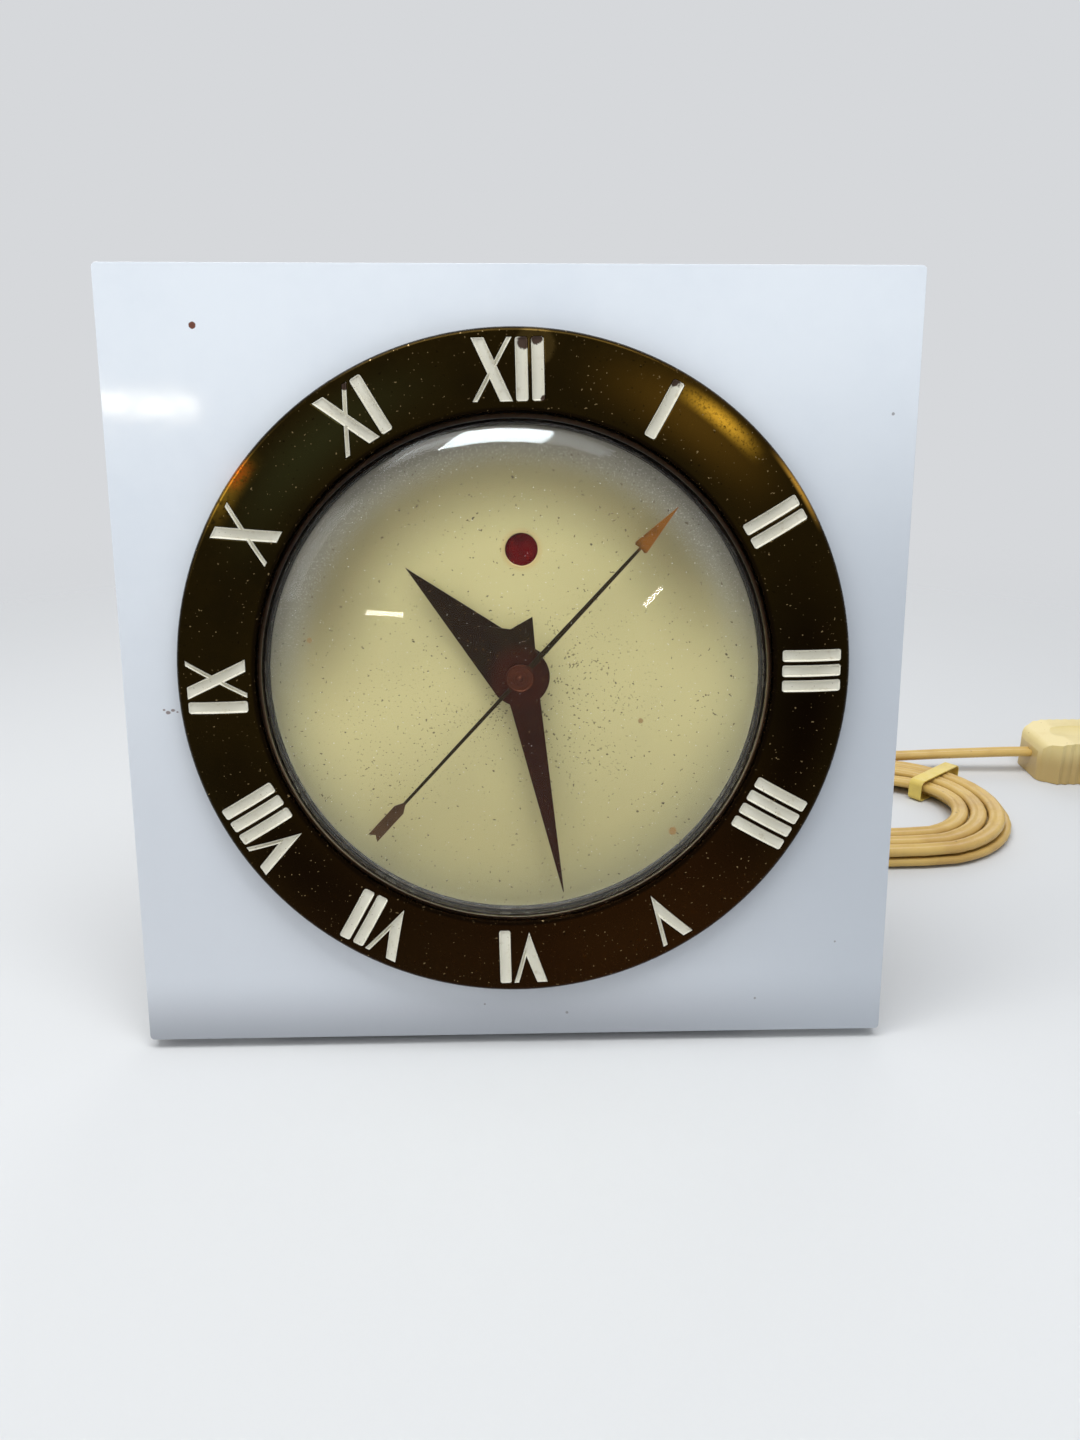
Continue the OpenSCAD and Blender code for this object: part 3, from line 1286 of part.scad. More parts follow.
front_panel();
numeral_ring();
numeral_paint();
crystal();
crystal_gasket();
dial();
dial_feet();
ring_studs();
panel_pad();
stand();
rubber_feet();
housing();
rear_cover();
cover_screws();
stud_nuts();
stud_washers();
mounting_plate();
back_plate();
pillars();
pillar_screws();
motion_stud();
flag_stud();
indicator_flag();
hour_hand();
minute_hand();
second_hand();
hour_wheel();
motion_wheel();
minute_arbor();
clutch_wheel();
clutch_spring();
clutch_collar();
third_arbor();
third_wheel();
second_arbor();
second_wheel();
rotor_pinion();
rotor_can();
field_core();
core_posts();
coil_bobbin();
field_coil();
coil_leads();
set_arbor();
set_knob();
strain_relief();
cord_lead();
cord_coil();
cord_tail();
cord_tie();
plug_body();
plug_blades();
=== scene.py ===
"""Electric table clock: a square opal panel with a stamped numeral ring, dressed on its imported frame."""

import math

import bmesh
import bpy
from mathutils import Matrix, Vector


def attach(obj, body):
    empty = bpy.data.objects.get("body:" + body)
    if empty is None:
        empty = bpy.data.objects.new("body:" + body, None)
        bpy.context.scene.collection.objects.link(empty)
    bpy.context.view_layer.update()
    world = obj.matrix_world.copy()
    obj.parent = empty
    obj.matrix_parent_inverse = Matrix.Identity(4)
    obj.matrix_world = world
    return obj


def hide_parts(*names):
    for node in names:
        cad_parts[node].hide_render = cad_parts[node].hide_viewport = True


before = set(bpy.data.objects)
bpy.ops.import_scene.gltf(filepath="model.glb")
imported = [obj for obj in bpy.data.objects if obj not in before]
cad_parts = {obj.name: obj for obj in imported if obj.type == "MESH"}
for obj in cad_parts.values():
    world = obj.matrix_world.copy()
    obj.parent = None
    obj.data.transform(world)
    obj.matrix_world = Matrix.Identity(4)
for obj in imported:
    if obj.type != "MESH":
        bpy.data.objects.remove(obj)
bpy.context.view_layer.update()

bl_info = {
    "name": "Electric Table Clock",
    "version": (1, 0, 0),
    "blender": (4, 5, 0),
    "location": "View3D > Sidebar > Clock",
    "description": "Models and finishes an electric table clock with an opal panel and a stamped numeral ring",
    "category": "Object",
}

MM = 0.001


def tone(red, green, blue):
    """A colour as it is seen, from 0 to 255, as the linear colour that a shader takes."""
    shares = (red / 255, green / 255, blue / 255)
    return tuple(v / 12.92 if v <= 0.04045 else ((v + 0.055) / 1.055) ** 2.4 for v in shares)


def measure(label, text, default, **more):
    """A size of the clock, in millimetres unless it is an angle."""
    return bpy.props.FloatProperty(name=label, description=text, default=default, **more)


def finish_colour(label, text, *seen):
    """A colour of the clock, given as it is seen."""
    return bpy.props.FloatVectorProperty(
        name=label, description=text, default=tone(*seen), subtype="COLOR", min=0, max=1
    )


class ClockSizes(bpy.types.PropertyGroup):
    """Sizes of the clock's own pieces, in millimetres."""

    lean: measure("Lean", "How far the clock leans back", math.radians(8), subtype="ANGLE")
    centre_y: measure("Panel depth", "Place of the panel's middle, front to back", -23.8258)
    centre_z: measure("Panel height", "Height of the panel's middle above the table", 90.5339)
    panel_side: measure("Panel side", "Side of the square panel", 178.0, min=1.0)
    panel_thick: measure("Panel thickness", "Thickness of the opal panel", 6.0, min=1.0)
    panel_hole: measure("Panel opening", "Radius of the opening behind the ring", 62.5)
    ring_outer: measure("Ring radius", "Outer radius of the numeral ring", 76.0, min=1.0)
    ring_inner: measure("Ring opening", "Radius of the ring's opening", 58.1, min=1.0)
    ring_height: measure("Ring height", "Height of the ring's crown over the panel", 4.6)
    ring_crown: measure("Ring crown", "Radius of the crowned face across the ring", 40.0)
    numeral_height: measure("Numeral height", "Height of a numeral across the ring", 13.3)
    numeral_floor: measure("Numeral floor", "Height of the numerals' floors", 3.4)
    numeral_turn: measure("Numeral turn", "Turn of the stamping", math.radians(1.2), subtype="ANGLE")
    bar_width: measure("Bar width", "Width of a bar of a numeral", 2.7)
    bar_pitch: measure("Bar pitch", "Distance from bar to bar", 3.48)
    glass_radius: measure("Crystal radius", "Outer radius of the crystal's dome", 57.85)
    cord_width: measure("Cord width", "Width of the flat cord", 5.4)
    cord_height: measure("Cord thickness", "Thickness of the flat cord", 2.8)


class ClockColours(bpy.types.PropertyGroup):
    """Colours of the clock's finishes."""

    opal: finish_colour("Opal", "Opal panel", 240, 246, 252)
    brass: finish_colour("Aged brass", "Lacquered ring", 38, 28, 8)
    ivory: finish_colour("Ivory", "Paint in the numerals", 226, 222, 205)
    dial: finish_colour("Dial", "Dial enamel", 197, 184, 131)
    hands: finish_colour("Hands", "Bronzed hands", 36, 22, 10)
    signal: finish_colour("Signal", "Indicator's field", 88, 1, 3)
    cord: finish_colour("Cord", "Vinyl cord", 207, 172, 96)
    plug: finish_colour("Plug", "Plug's body", 228, 208, 144)
    housing: finish_colour("Housing", "Lacquer on the housing", 150, 132, 98)


def sizes():
    return bpy.context.scene.clock_sizes


def colours():
    return bpy.context.scene.clock_colours


# ---------------------------------------------------------------- places and selection


def leaning():
    """The panel's frame, in millimetres, as a matrix to the table's frame in metres."""
    s = sizes()
    return (
        Matrix.Translation((0, s.centre_y * MM, s.centre_z * MM))
        @ Matrix.Rotation(math.pi / 2 - s.lean, 4, "X")
        @ Matrix.Diagonal((MM, MM, MM, 1))
    )


def beside(x, y):
    """A place in the panel's plane, as a matrix."""
    return leaning() @ Matrix.Translation((x, y, 0))


# places in the panel's frame: the hands' arbor, what the flag turns on and the middle of its window
ARBOR = (0.9, 0.4)
FLAG_PIVOT = (16.9, 20.2)
WINDOW = (1.4, 28.5)
# the radius and the angles of the ring's studs and of the cover's screws
STUDS = (69.75, (75, 195, 315))
SCREWS = (52.8, (90, 210, 330))
# the second hand's underside and its thickness
SECOND_LOW, SECOND_THICK = 5.0, 0.35


def turn(degrees):
    return Matrix.Rotation(math.radians(degrees), 4, "Z")


def around(radius, angles):
    """Places on a circle about the upright axis, at angles in degrees."""
    return [turn(a) @ Matrix.Translation((radius, 0, 0)) for a in angles]


def linked(name, data):
    """A new object in the scene that has the data."""
    obj = bpy.data.objects.new(name, data)
    bpy.context.scene.collection.objects.link(obj)
    return obj


def deselect():
    if bpy.context.object and bpy.context.object.mode != "OBJECT":
        bpy.ops.object.mode_set(mode="OBJECT")
    bpy.ops.object.select_all(action="DESELECT")


def pick(obj):
    """Makes obj the one that is selected and active."""
    deselect()
    obj.select_set(True)
    bpy.context.view_layer.objects.active = obj


def edit_all(obj):
    """Opens obj for editing with all of its mesh selected."""
    pick(obj)
    bpy.ops.object.mode_set(mode="EDIT")
    bpy.ops.mesh.select_mode(type="VERT")
    bpy.ops.mesh.select_all(action="SELECT")


def extrude(x, y, z):
    bpy.ops.mesh.extrude_region_move(TRANSFORM_OT_translate={"value": (x, y, z)})


def choose_above(height):
    """Selects the faces of the mesh in edit mode whose middles are above a height."""
    bpy.ops.mesh.select_mode(type="FACE")
    mesh = bmesh.from_edit_mesh(bpy.context.object.data)
    for face in mesh.faces:
        face.select_set(face.calc_center_median().z > height)
    mesh.select_flush_mode()
    bmesh.update_edit_mesh(bpy.context.object.data)


def leave_edit():
    bpy.ops.object.mode_set(mode="OBJECT")
    return bpy.context.object


def tidy_faces():
    """Merges doubles and points the faces outwards, in edit mode."""
    bpy.ops.mesh.select_all(action="SELECT")
    bpy.ops.mesh.remove_doubles(threshold=0.002)
    bpy.ops.mesh.normals_make_consistent(inside=False)


def apply_all(obj):
    pick(obj)
    for modifier in list(obj.modifiers):
        bpy.ops.object.modifier_apply(modifier=modifier.name)


def bevel(obj, width, segments, angle):
    """Eases the edges of obj that are sharper than an angle."""
    modifier = obj.modifiers.new("Edge", "BEVEL")
    modifier.width = width
    modifier.segments = segments
    modifier.limit_method = "ANGLE"
    modifier.angle_limit = math.radians(angle)
    apply_all(obj)


def cut_away(obj, cutter, crossing=False):
    """Cuts the cutter's shape out of obj; crossing is for a cutter whose parts run into each other."""
    before = len(obj.data.polygons)
    modifier = obj.modifiers.new("Cut", "BOOLEAN")
    modifier.operation = "DIFFERENCE"
    modifier.solver = "EXACT"
    modifier.use_self = crossing
    modifier.object = cutter
    apply_all(obj)
    bpy.data.objects.remove(cutter, do_unlink=True)
    if not obj.data.polygons or len(obj.data.polygons) == before:
        raise RuntimeError("the cut in " + obj.name + " left it empty or unchanged")


def smooth(obj, angle):
    """Shades obj smooth up to an angle, with its wide faces kept flat."""
    pick(obj)
    bpy.ops.object.shade_smooth_by_angle(angle=math.radians(angle))
    modifier = obj.modifiers.new("Even", "WEIGHTED_NORMAL")
    modifier.keep_sharp = True
    modifier.weight = 80
    apply_all(obj)


def seat(obj, place=None):
    """Puts a piece's place into its mesh, so that its object sits at the origin."""
    obj.data.transform((place or Matrix.Identity(4)) @ obj.matrix_world)
    obj.matrix_world = Matrix.Identity(4)
    obj.data.update()


def finish_piece(obj, body, slot, *nodes, finish=None):
    """Gives a piece the finish of its slot, or the finish given, hangs it on its body and hides the CAD nodes that it
    stands for.
    """
    obj.data.materials.clear()
    obj.data.materials.append(MATERIALS[finish or slot])
    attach(obj, body)
    if nodes:
        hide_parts(*nodes)
    return obj


def complete(obj, angle, place, body, slot, *nodes):
    """Shades a modelled piece, puts it in its place and finishes it."""
    smooth(obj, angle)
    seat(obj, place)
    return finish_piece(obj, body, slot, *nodes)


# ---------------------------------------------------------------- drawing and turning


def drawn(name, points, closed=True, filled=False):
    """An outline in the drawing plane, from a plane merged to one vertex that is extruded from point to point."""
    deselect()
    bpy.ops.mesh.primitive_plane_add(size=1, location=(0, 0, 0))
    obj = bpy.context.object
    obj.name = name
    bpy.ops.object.mode_set(mode="EDIT")
    bpy.ops.mesh.select_mode(type="VERT")
    bpy.ops.mesh.select_all(action="SELECT")
    bpy.ops.mesh.merge(type="CENTER")
    points = [Vector(p) for p in points]
    bpy.ops.transform.translate(value=points[0])
    for a, b in zip(points, points[1:]):
        bpy.ops.mesh.extrude_vertices_move(TRANSFORM_OT_translate={"value": b - a})
    if closed:
        mesh = bmesh.from_edit_mesh(obj.data)
        ends = [v for v in mesh.verts if len(v.link_edges) == 1]
        for v in mesh.verts:
            v.select_set(v in ends)
        bmesh.update_edit_mesh(obj.data)
        bpy.ops.mesh.edge_face_add()
    if filled:
        bpy.ops.mesh.select_all(action="SELECT")
        bpy.ops.mesh.edge_face_add()
    return leave_edit()


def spun(name, section, steps, closed=True):
    """A turned piece: its section in (radius, height) is drawn and spun about the upright axis."""
    obj = drawn(name, [(r, 0, z) for r, z in section], closed)
    edit_all(obj)
    bpy.ops.mesh.spin(steps=steps, angle=2 * math.pi, center=(0, 0, 0), axis=(0, 0, 1))
    tidy_faces()
    return leave_edit()


def prism(name, points, shift):
    """An outline that is filled and extruded by a shift."""
    obj = drawn(name, points, filled=True)
    edit_all(obj)
    extrude(*shift)
    tidy_faces()
    return leave_edit()


def risen(name, outline, low, high):
    """A prism: an outline in (x, y), extruded from one height to another."""
    return prism(name, [(x, y, low) for x, y in outline], (0, 0, high - low))


def peg(name, radius, low, high, steps=24, place=(0, 0)):
    """A round cutter from one height to another, about an upright axis at a place."""
    obj = spun(name, [(0, low), (radius, low), (radius, high), (0, high)], steps, False)
    obj.data.transform(Matrix.Translation((*place, 0)))
    return obj


def arc(cx, cy, radius, start, end, steps):
    """Points along an arc, in degrees."""
    turns = [math.radians(start + (end - start) * i / steps) for i in range(steps + 1)]
    return [(cx + radius * math.cos(a), cy + radius * math.sin(a)) for a in turns]


def rounded(width, height, radius, steps, cx=0.0, cy=0.0):
    """A rectangle with rounded corners, anticlockwise."""
    x, y = width / 2 - radius, height / 2 - radius
    points = []
    for sx, sy, start in ((1, 1, 0), (-1, 1, 90), (-1, -1, 180), (1, -1, 270)):
        points += arc(cx + sx * x, cy + sy * y, radius, start, start + 90, steps)
    return points


def spaced(outline, step):
    """The outline with further points along its long sides."""
    points = []
    for a, b in zip(outline, outline[1:] + outline[:1]):
        count = max(1, round(math.dist(a, b) / step))
        points += [(a[0] + (b[0] - a[0]) * i / count, a[1] + (b[1] - a[1]) * i / count) for i in range(count)]
    return points


def copies(obj, places):
    """The same shape at several places, joined into one piece; each copy has its own mesh."""
    name, made = obj.name, []
    for place in places:
        other = linked(name, obj.data.copy())
        other.data.transform(place)
        made.append(other)
    bpy.data.objects.remove(obj, do_unlink=True)
    return joined(name, made)


def joined(name, pieces):
    deselect()
    for piece in pieces:
        piece.select_set(True)
    bpy.context.view_layer.objects.active = pieces[0]
    if len(pieces) > 1:
        bpy.ops.object.join()
    bpy.context.object.name = name
    return bpy.context.object


def dressed(node, name, body, slot, edge=0.12, angle=30.0, segments=2, finish=None):
    """A copy of a CAD node with its doubles merged, its flat faces made whole and its edges eased."""
    obj = linked(name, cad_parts[node].data.copy())
    edit_all(obj)
    bpy.ops.mesh.remove_doubles(threshold=2e-6)
    bpy.ops.mesh.dissolve_limited(angle_limit=math.radians(0.6))
    leave_edit()
    bevel(obj, edge * MM, segments, angle)
    smooth(obj, angle)
    return finish_piece(obj, body, slot, node, finish=finish)


# ---------------------------------------------------------------- shader groups


class Net:
    """A few short words for building a node tree."""

    def __init__(self, tree):
        self.tree = tree

    def node(self, kind, **settings):
        made = self.tree.nodes.new(kind)
        for key, value in settings.items():
            setattr(made, key, value)
        return made

    def link(self, a, b):
        self.tree.links.new(a, b)

    def set(self, socket, value):
        """Links a socket to another one, or gives it a value."""
        if isinstance(value, bpy.types.NodeSocket):
            self.link(value, socket)
        else:
            socket.default_value = value

    def put(self, made, **values):
        """Sets or links a node's inputs by name, with spaces written as underscores, or by number."""
        for key, value in values.items():
            numbered = key[0] == "i" and key[1:].isdigit()
            self.set(made.inputs[int(key[1:]) if numbered else key.replace("_", " ")], value)
        return made

    def math(self, operation, a, b=0.0, clamp=False):
        made = self.node("ShaderNodeMath", operation=operation, use_clamp=clamp)
        return self.put(made, i0=a, i1=b).outputs[0]

    def times(self, a, b):
        return self.math("MULTIPLY", a, b)

    def plus(self, a, b):
        return self.math("ADD", a, b)

    def vector(self, operation, a, b):
        return self.put(self.node("ShaderNodeVectorMath", operation=operation), i0=a, i1=b).outputs[0]

    def length(self, vector):
        made = self.node("ShaderNodeVectorMath", operation="LENGTH")
        return self.put(made, i0=vector).outputs["Value"]

    def parts(self, vector):
        return self.put(self.node("ShaderNodeSeparateXYZ"), Vector=vector).outputs

    def noise(self, vector, scale, detail, roughness=0.5):
        made = self.node("ShaderNodeTexNoise")
        self.put(made, Vector=vector, Scale=scale, Detail=detail, Roughness=roughness)
        return made.outputs["Fac"]

    def range(self, value, low, high, to_low=0.0, to_high=1.0, soft=True):
        made = self.node("ShaderNodeMapRange", interpolation_type="SMOOTHSTEP" if soft else "LINEAR")
        self.put(made, Value=value, From_Min=low, From_Max=high, To_Min=to_low, To_Max=to_high)
        return made.outputs["Result"]

    def mix(self, factor, a, b):
        made = self.node("ShaderNodeMix", data_type="RGBA")
        self.set(made.inputs[0], factor)
        for index, colour in ((6, a), (7, b)):
            linked_in = isinstance(colour, bpy.types.NodeSocket)
            self.set(made.inputs[index], colour if linked_in else (*colour[:3], 1))
        return made.outputs[2]

    def group(self, name, output, **values):
        made = self.node("ShaderNodeGroup", node_tree=bpy.data.node_groups[name])
        return self.put(made, **values).outputs[output]

    def millimetres(self):
        """The row's own coordinates, in millimetres."""
        where = self.node("ShaderNodeTexCoord").outputs["Object"]
        return self.vector("MULTIPLY", where, (1000, 1000, 1000))

    def panel_plane(self):
        """Coordinates in the panel's frame, in millimetres."""
        s = sizes()
        where = self.node("ShaderNodeTexCoord").outputs["Object"]
        made = self.node("ShaderNodeMapping", vector_type="TEXTURE")
        place, lean = (0, s.centre_y * MM, s.centre_z * MM), (math.pi / 2 - s.lean, 0, 0)
        return self.put(made, Vector=where, Location=place, Rotation=lean, Scale=(MM, MM, MM)).outputs[0]


def group(name, *outputs, **values):
    """An empty group: its net, its inputs (a Vector, then those in values) and its outputs, all numbers."""
    tree = bpy.data.node_groups.new(name, "ShaderNodeTree")
    vector, number = "NodeSocketVector", "NodeSocketFloat"
    tree.interface.new_socket(name="Vector", in_out="INPUT", socket_type=vector)
    for label, value in values.items():
        kind = vector if isinstance(value, tuple) else number
        tree.interface.new_socket(name=label, in_out="INPUT", socket_type=kind).default_value = value
    for label in outputs:
        tree.interface.new_socket(name=label, in_out="OUTPUT", socket_type=number)
    given, out = tree.nodes.new("NodeGroupInput"), tree.nodes.new("NodeGroupOutput")
    return Net(tree), given.outputs, out.inputs


def build_groups():
    """The effects that several finishes share."""
    net, given, out = group("Fine Grain", "Height", Scale=4.0, Depth=1.0)
    fine = net.noise(given["Vector"], given["Scale"], 4.0, 0.6)
    wide = net.noise(given["Vector"], net.times(given["Scale"], 0.17), 2.0)
    net.link(net.times(net.plus(fine, wide), given["Depth"]), out["Height"])

    net, given, out = group("Patches", "Mask", Scale=0.1, Low=0.45, High=0.65)
    cloud = net.noise(given["Vector"], given["Scale"], 5.0, 0.62)
    net.link(net.range(cloud, given["Low"], given["High"]), out["Mask"])

    net, given, out = group("Specks", "Mask", Scale=1.0, Share=0.2, Size=0.2)
    cells = net.node("ShaderNodeTexVoronoi", feature="F1")
    net.put(cells, Vector=given["Vector"], Scale=given["Scale"], Randomness=1.0)
    chance = net.put(net.node("ShaderNodeSeparateColor"), Color=cells.outputs["Color"]).outputs
    size = net.times(given["Size"], net.times(chance[1], chance[1]))
    dot = net.range(cells.outputs["Distance"], size, net.plus(size, 0.06), 1.0, 0.0)
    shown = net.math("LESS_THAN", chance[0], given["Share"])
    net.link(net.times(dot, shown), out["Mask"])

    net, given, out = group("Flecks", "Mask", Scale=1.0, Level=0.7)
    fine = net.noise(given["Vector"], given["Scale"], 1.0, 0.5)
    net.link(net.range(fine, given["Level"], net.plus(given["Level"], 0.03)), out["Mask"])

    net, given, out = group(
        "Spot", "Mask", Centre=(0, 0, 0), Stretch=(1, 1, 0), Radius=1.0, Soft=0.3, Ragged=0.3
    )
    away = net.vector("SUBTRACT", given["Vector"], given["Centre"])
    away = net.vector("MULTIPLY", away, given["Stretch"])
    share = net.math("DIVIDE", net.length(away), given["Radius"])
    rough = net.math("SUBTRACT", net.noise(given["Vector"], 1.4, 3.0, 0.6), 0.5)
    share = net.plus(share, net.times(rough, given["Ragged"]))
    inner, outer = net.math("SUBTRACT", 1.0, given["Soft"]), net.plus(given["Soft"], 1.0)
    net.link(net.range(share, inner, outer, 1.0, 0.0), out["Mask"])

    net, given, out = group("Brushed Lines", "Height", Along=(0.05, 1, 1), Scale=6.0, Depth=1.0)
    drawn_out = net.vector("MULTIPLY", given["Vector"], given["Along"])
    net.link(net.times(net.noise(drawn_out, given["Scale"], 3.0, 0.7), given["Depth"]), out["Height"])

    net, given, out = group("Ring Radius", "Radius", "Turn", Centre=(0, 0, 0))
    flat = net.vector("SUBTRACT", given["Vector"], given["Centre"])
    flat = net.vector("MULTIPLY", flat, (1, 1, 0))
    across, up, _ = net.parts(flat)
    net.link(net.length(flat), out["Radius"])
    net.link(net.math("ARCTAN2", across, up), out["Turn"])


def new_material(name):
    """A material, with its net and its Principled shader."""
    material = bpy.data.materials.new(name)
    material.use_nodes = True
    return material, Net(material.node_tree), material.node_tree.nodes["Principled BSDF"]


class Finish:
    """A material with its Principled shader, and the words to add colour and relief to it."""

    def __init__(self, name, colour, roughness, metallic=0.0, panel=False, **plain):
        self.material, self.net, self.shader = new_material(name)
        self.net.put(self.shader, Roughness=roughness, Metallic=metallic, **plain)
        self.where = self.net.panel_plane() if panel else self.net.millimetres()
        self.colour = self.net.mix(0.0, tuple(colour), tuple(colour))
        self.rough = None
        self.height = None

    def blend(self, mask, colour, amount=1.0):
        """Mixes a shader's colour in where the mask is."""
        factor = self.net.times(mask, amount) if amount != 1.0 else mask
        self.colour = self.net.mix(factor, self.colour, colour)

    def tint(self, mask, seen, amount=1.0):
        """Mixes a colour in, given as it is seen, where the mask is."""
        self.blend(mask, tone(*seen), amount)

    def roughen(self, mask, low, high):
        self.rough = self.net.range(mask, 0.0, 1.0, low, high, soft=False)

    def relief(self, height, distance, strength):
        made = self.net.node("ShaderNodeBump")
        self.net.put(made, Height=height, Distance=distance * MM, Strength=strength)
        self.height = made.outputs["Normal"]

    # masks and heights

    def shared(self, name, output="Mask", **values):
        return self.net.group(name, output, Vector=self.where, **values)

    def patches(self, scale, low=0.45, high=0.65):
        return self.shared("Patches", Scale=scale, Low=low, High=high)

    def specks(self, scale, share, size):
        return self.shared("Specks", Scale=scale, Share=share, Size=size)

    def flecks(self, scale, level):
        return self.shared("Flecks", Scale=scale, Level=level)

    def grain(self, scale):
        return self.shared("Fine Grain", "Height", Scale=scale, Depth=1.0)

    def lines(self, along, scale):
        return self.shared("Brushed Lines", "Height", Along=along, Scale=scale, Depth=1.0)

    def spot(self, x, y, radius, soft, ragged, stretch=(1, 1, 0)):
        centre = (x, y, 0)
        return self.shared("Spot", Centre=centre, Stretch=stretch, Radius=radius, Soft=soft, Ragged=ragged)

    def reach(self, x=0.0, y=0.0):
        """The distance from a place, in the plane of x and y."""
        return self.shared("Ring Radius", "Radius", Centre=(x, y, 0))

    def bearing(self, x=0.0, y=0.0):
        """The clock angle from a place, in radians."""
        return self.shared("Ring Radius", "Turn", Centre=(x, y, 0))

    def axis(self, index):
        return self.net.parts(self.where)[index]

    def range(self, value, low, high):
        return self.net.range(value, low, high)

    def both(self, a, b):
        return self.net.times(a, b)

    def sector(self, angle, spread, radius, width):
        """A soft patch on a ring, at a clock angle and a radius, in degrees and millimetres."""
        across = self.net.math("ABSOLUTE", self.net.math("SUBTRACT", self.reach(), radius))
        along = self.net.math("ABSOLUTE", self.net.math("SUBTRACT", self.bearing(), math.radians(angle)))
        return self.both(self.range(along, math.radians(spread), 0.0), self.range(across, width, 0.0))

    def done(self):
        made = {"Base Color": self.colour, "Roughness": self.rough, "Normal": self.height}
        for name, value in made.items():
            if value is not None:
                self.net.link(value, self.shader.inputs[name])
        return self.material


def worn_metal(name, colour, roughness, grain):
    """A machined or rolled metal: fine grain, faint clouds and a few stains."""
    f = Finish(name, colour, roughness, metallic=1.0)
    f.blend(f.patches(0.12, 0.5, 0.72), (0.10, 0.06, 0.03), 0.35)
    f.blend(f.patches(0.9, 0.52, 0.75), tuple(c * 0.72 for c in colour), 0.6)
    f.roughen(f.patches(0.35), roughness * 0.8, min(1.0, roughness * 1.5))
    f.relief(f.grain(grain), 0.012, 0.4)
    return f.done()


def moulded(name, colour, roughness, dirt):
    """A moulded or painted surface with a little grime in patches."""
    f = Finish(name, colour, roughness)
    f.tint(f.patches(0.08, 0.45, 0.7), dirt, 0.35)
    f.tint(f.specks(0.9, 0.25, 0.28), dirt, 0.5)
    f.roughen(f.patches(0.3), roughness * 0.85, min(1.0, roughness * 1.3))
    f.relief(f.grain(3.0), 0.03, 0.35)
    return f.done()


# a slot, its finish's name, the colour as it is seen, its roughness and the scale of its grain
METALS = (
    ("train_brass", "Train brass", (208, 166, 92), 0.3, 5.0),
    ("bright_steel", "Bright steel", (198, 198, 200), 0.28, 5.0),
    ("plate_steel", "Plated steel", (172, 174, 178), 0.36, 3.0),
    ("stand_steel", "Stand lacquer", (150, 140, 116), 0.44, 2.4),
    ("rotor_copper", "Coppered can", (186, 118, 74), 0.3, 5.0),
    ("blade_brass", "Blade brass", (206, 176, 112), 0.34, 5.0),
)
# a slot, its finish's name, the colour as it is seen, its roughness and the colour of its grime
MOULDINGS = (
    ("black_rubber", "Black rubber", (40, 39, 38), 0.72, (86, 80, 72)),
    ("perished_rubber", "Perished rubber", (44, 28, 18), 0.8, (70, 48, 26)),
    ("bobbin_fibre", "Bobbin fibre", (120, 66, 42), 0.6, (70, 40, 28)),
    ("lead_sleeve", "Lead sleeve", (36, 34, 32), 0.6, (70, 64, 56)),
    ("knob_plastic", "Knob plastic", (58, 42, 32), 0.32, (90, 74, 58)),
    ("tie_plastic", "Tie band", (222, 196, 96), 0.4, (170, 140, 70)),
)
MATERIALS = {}


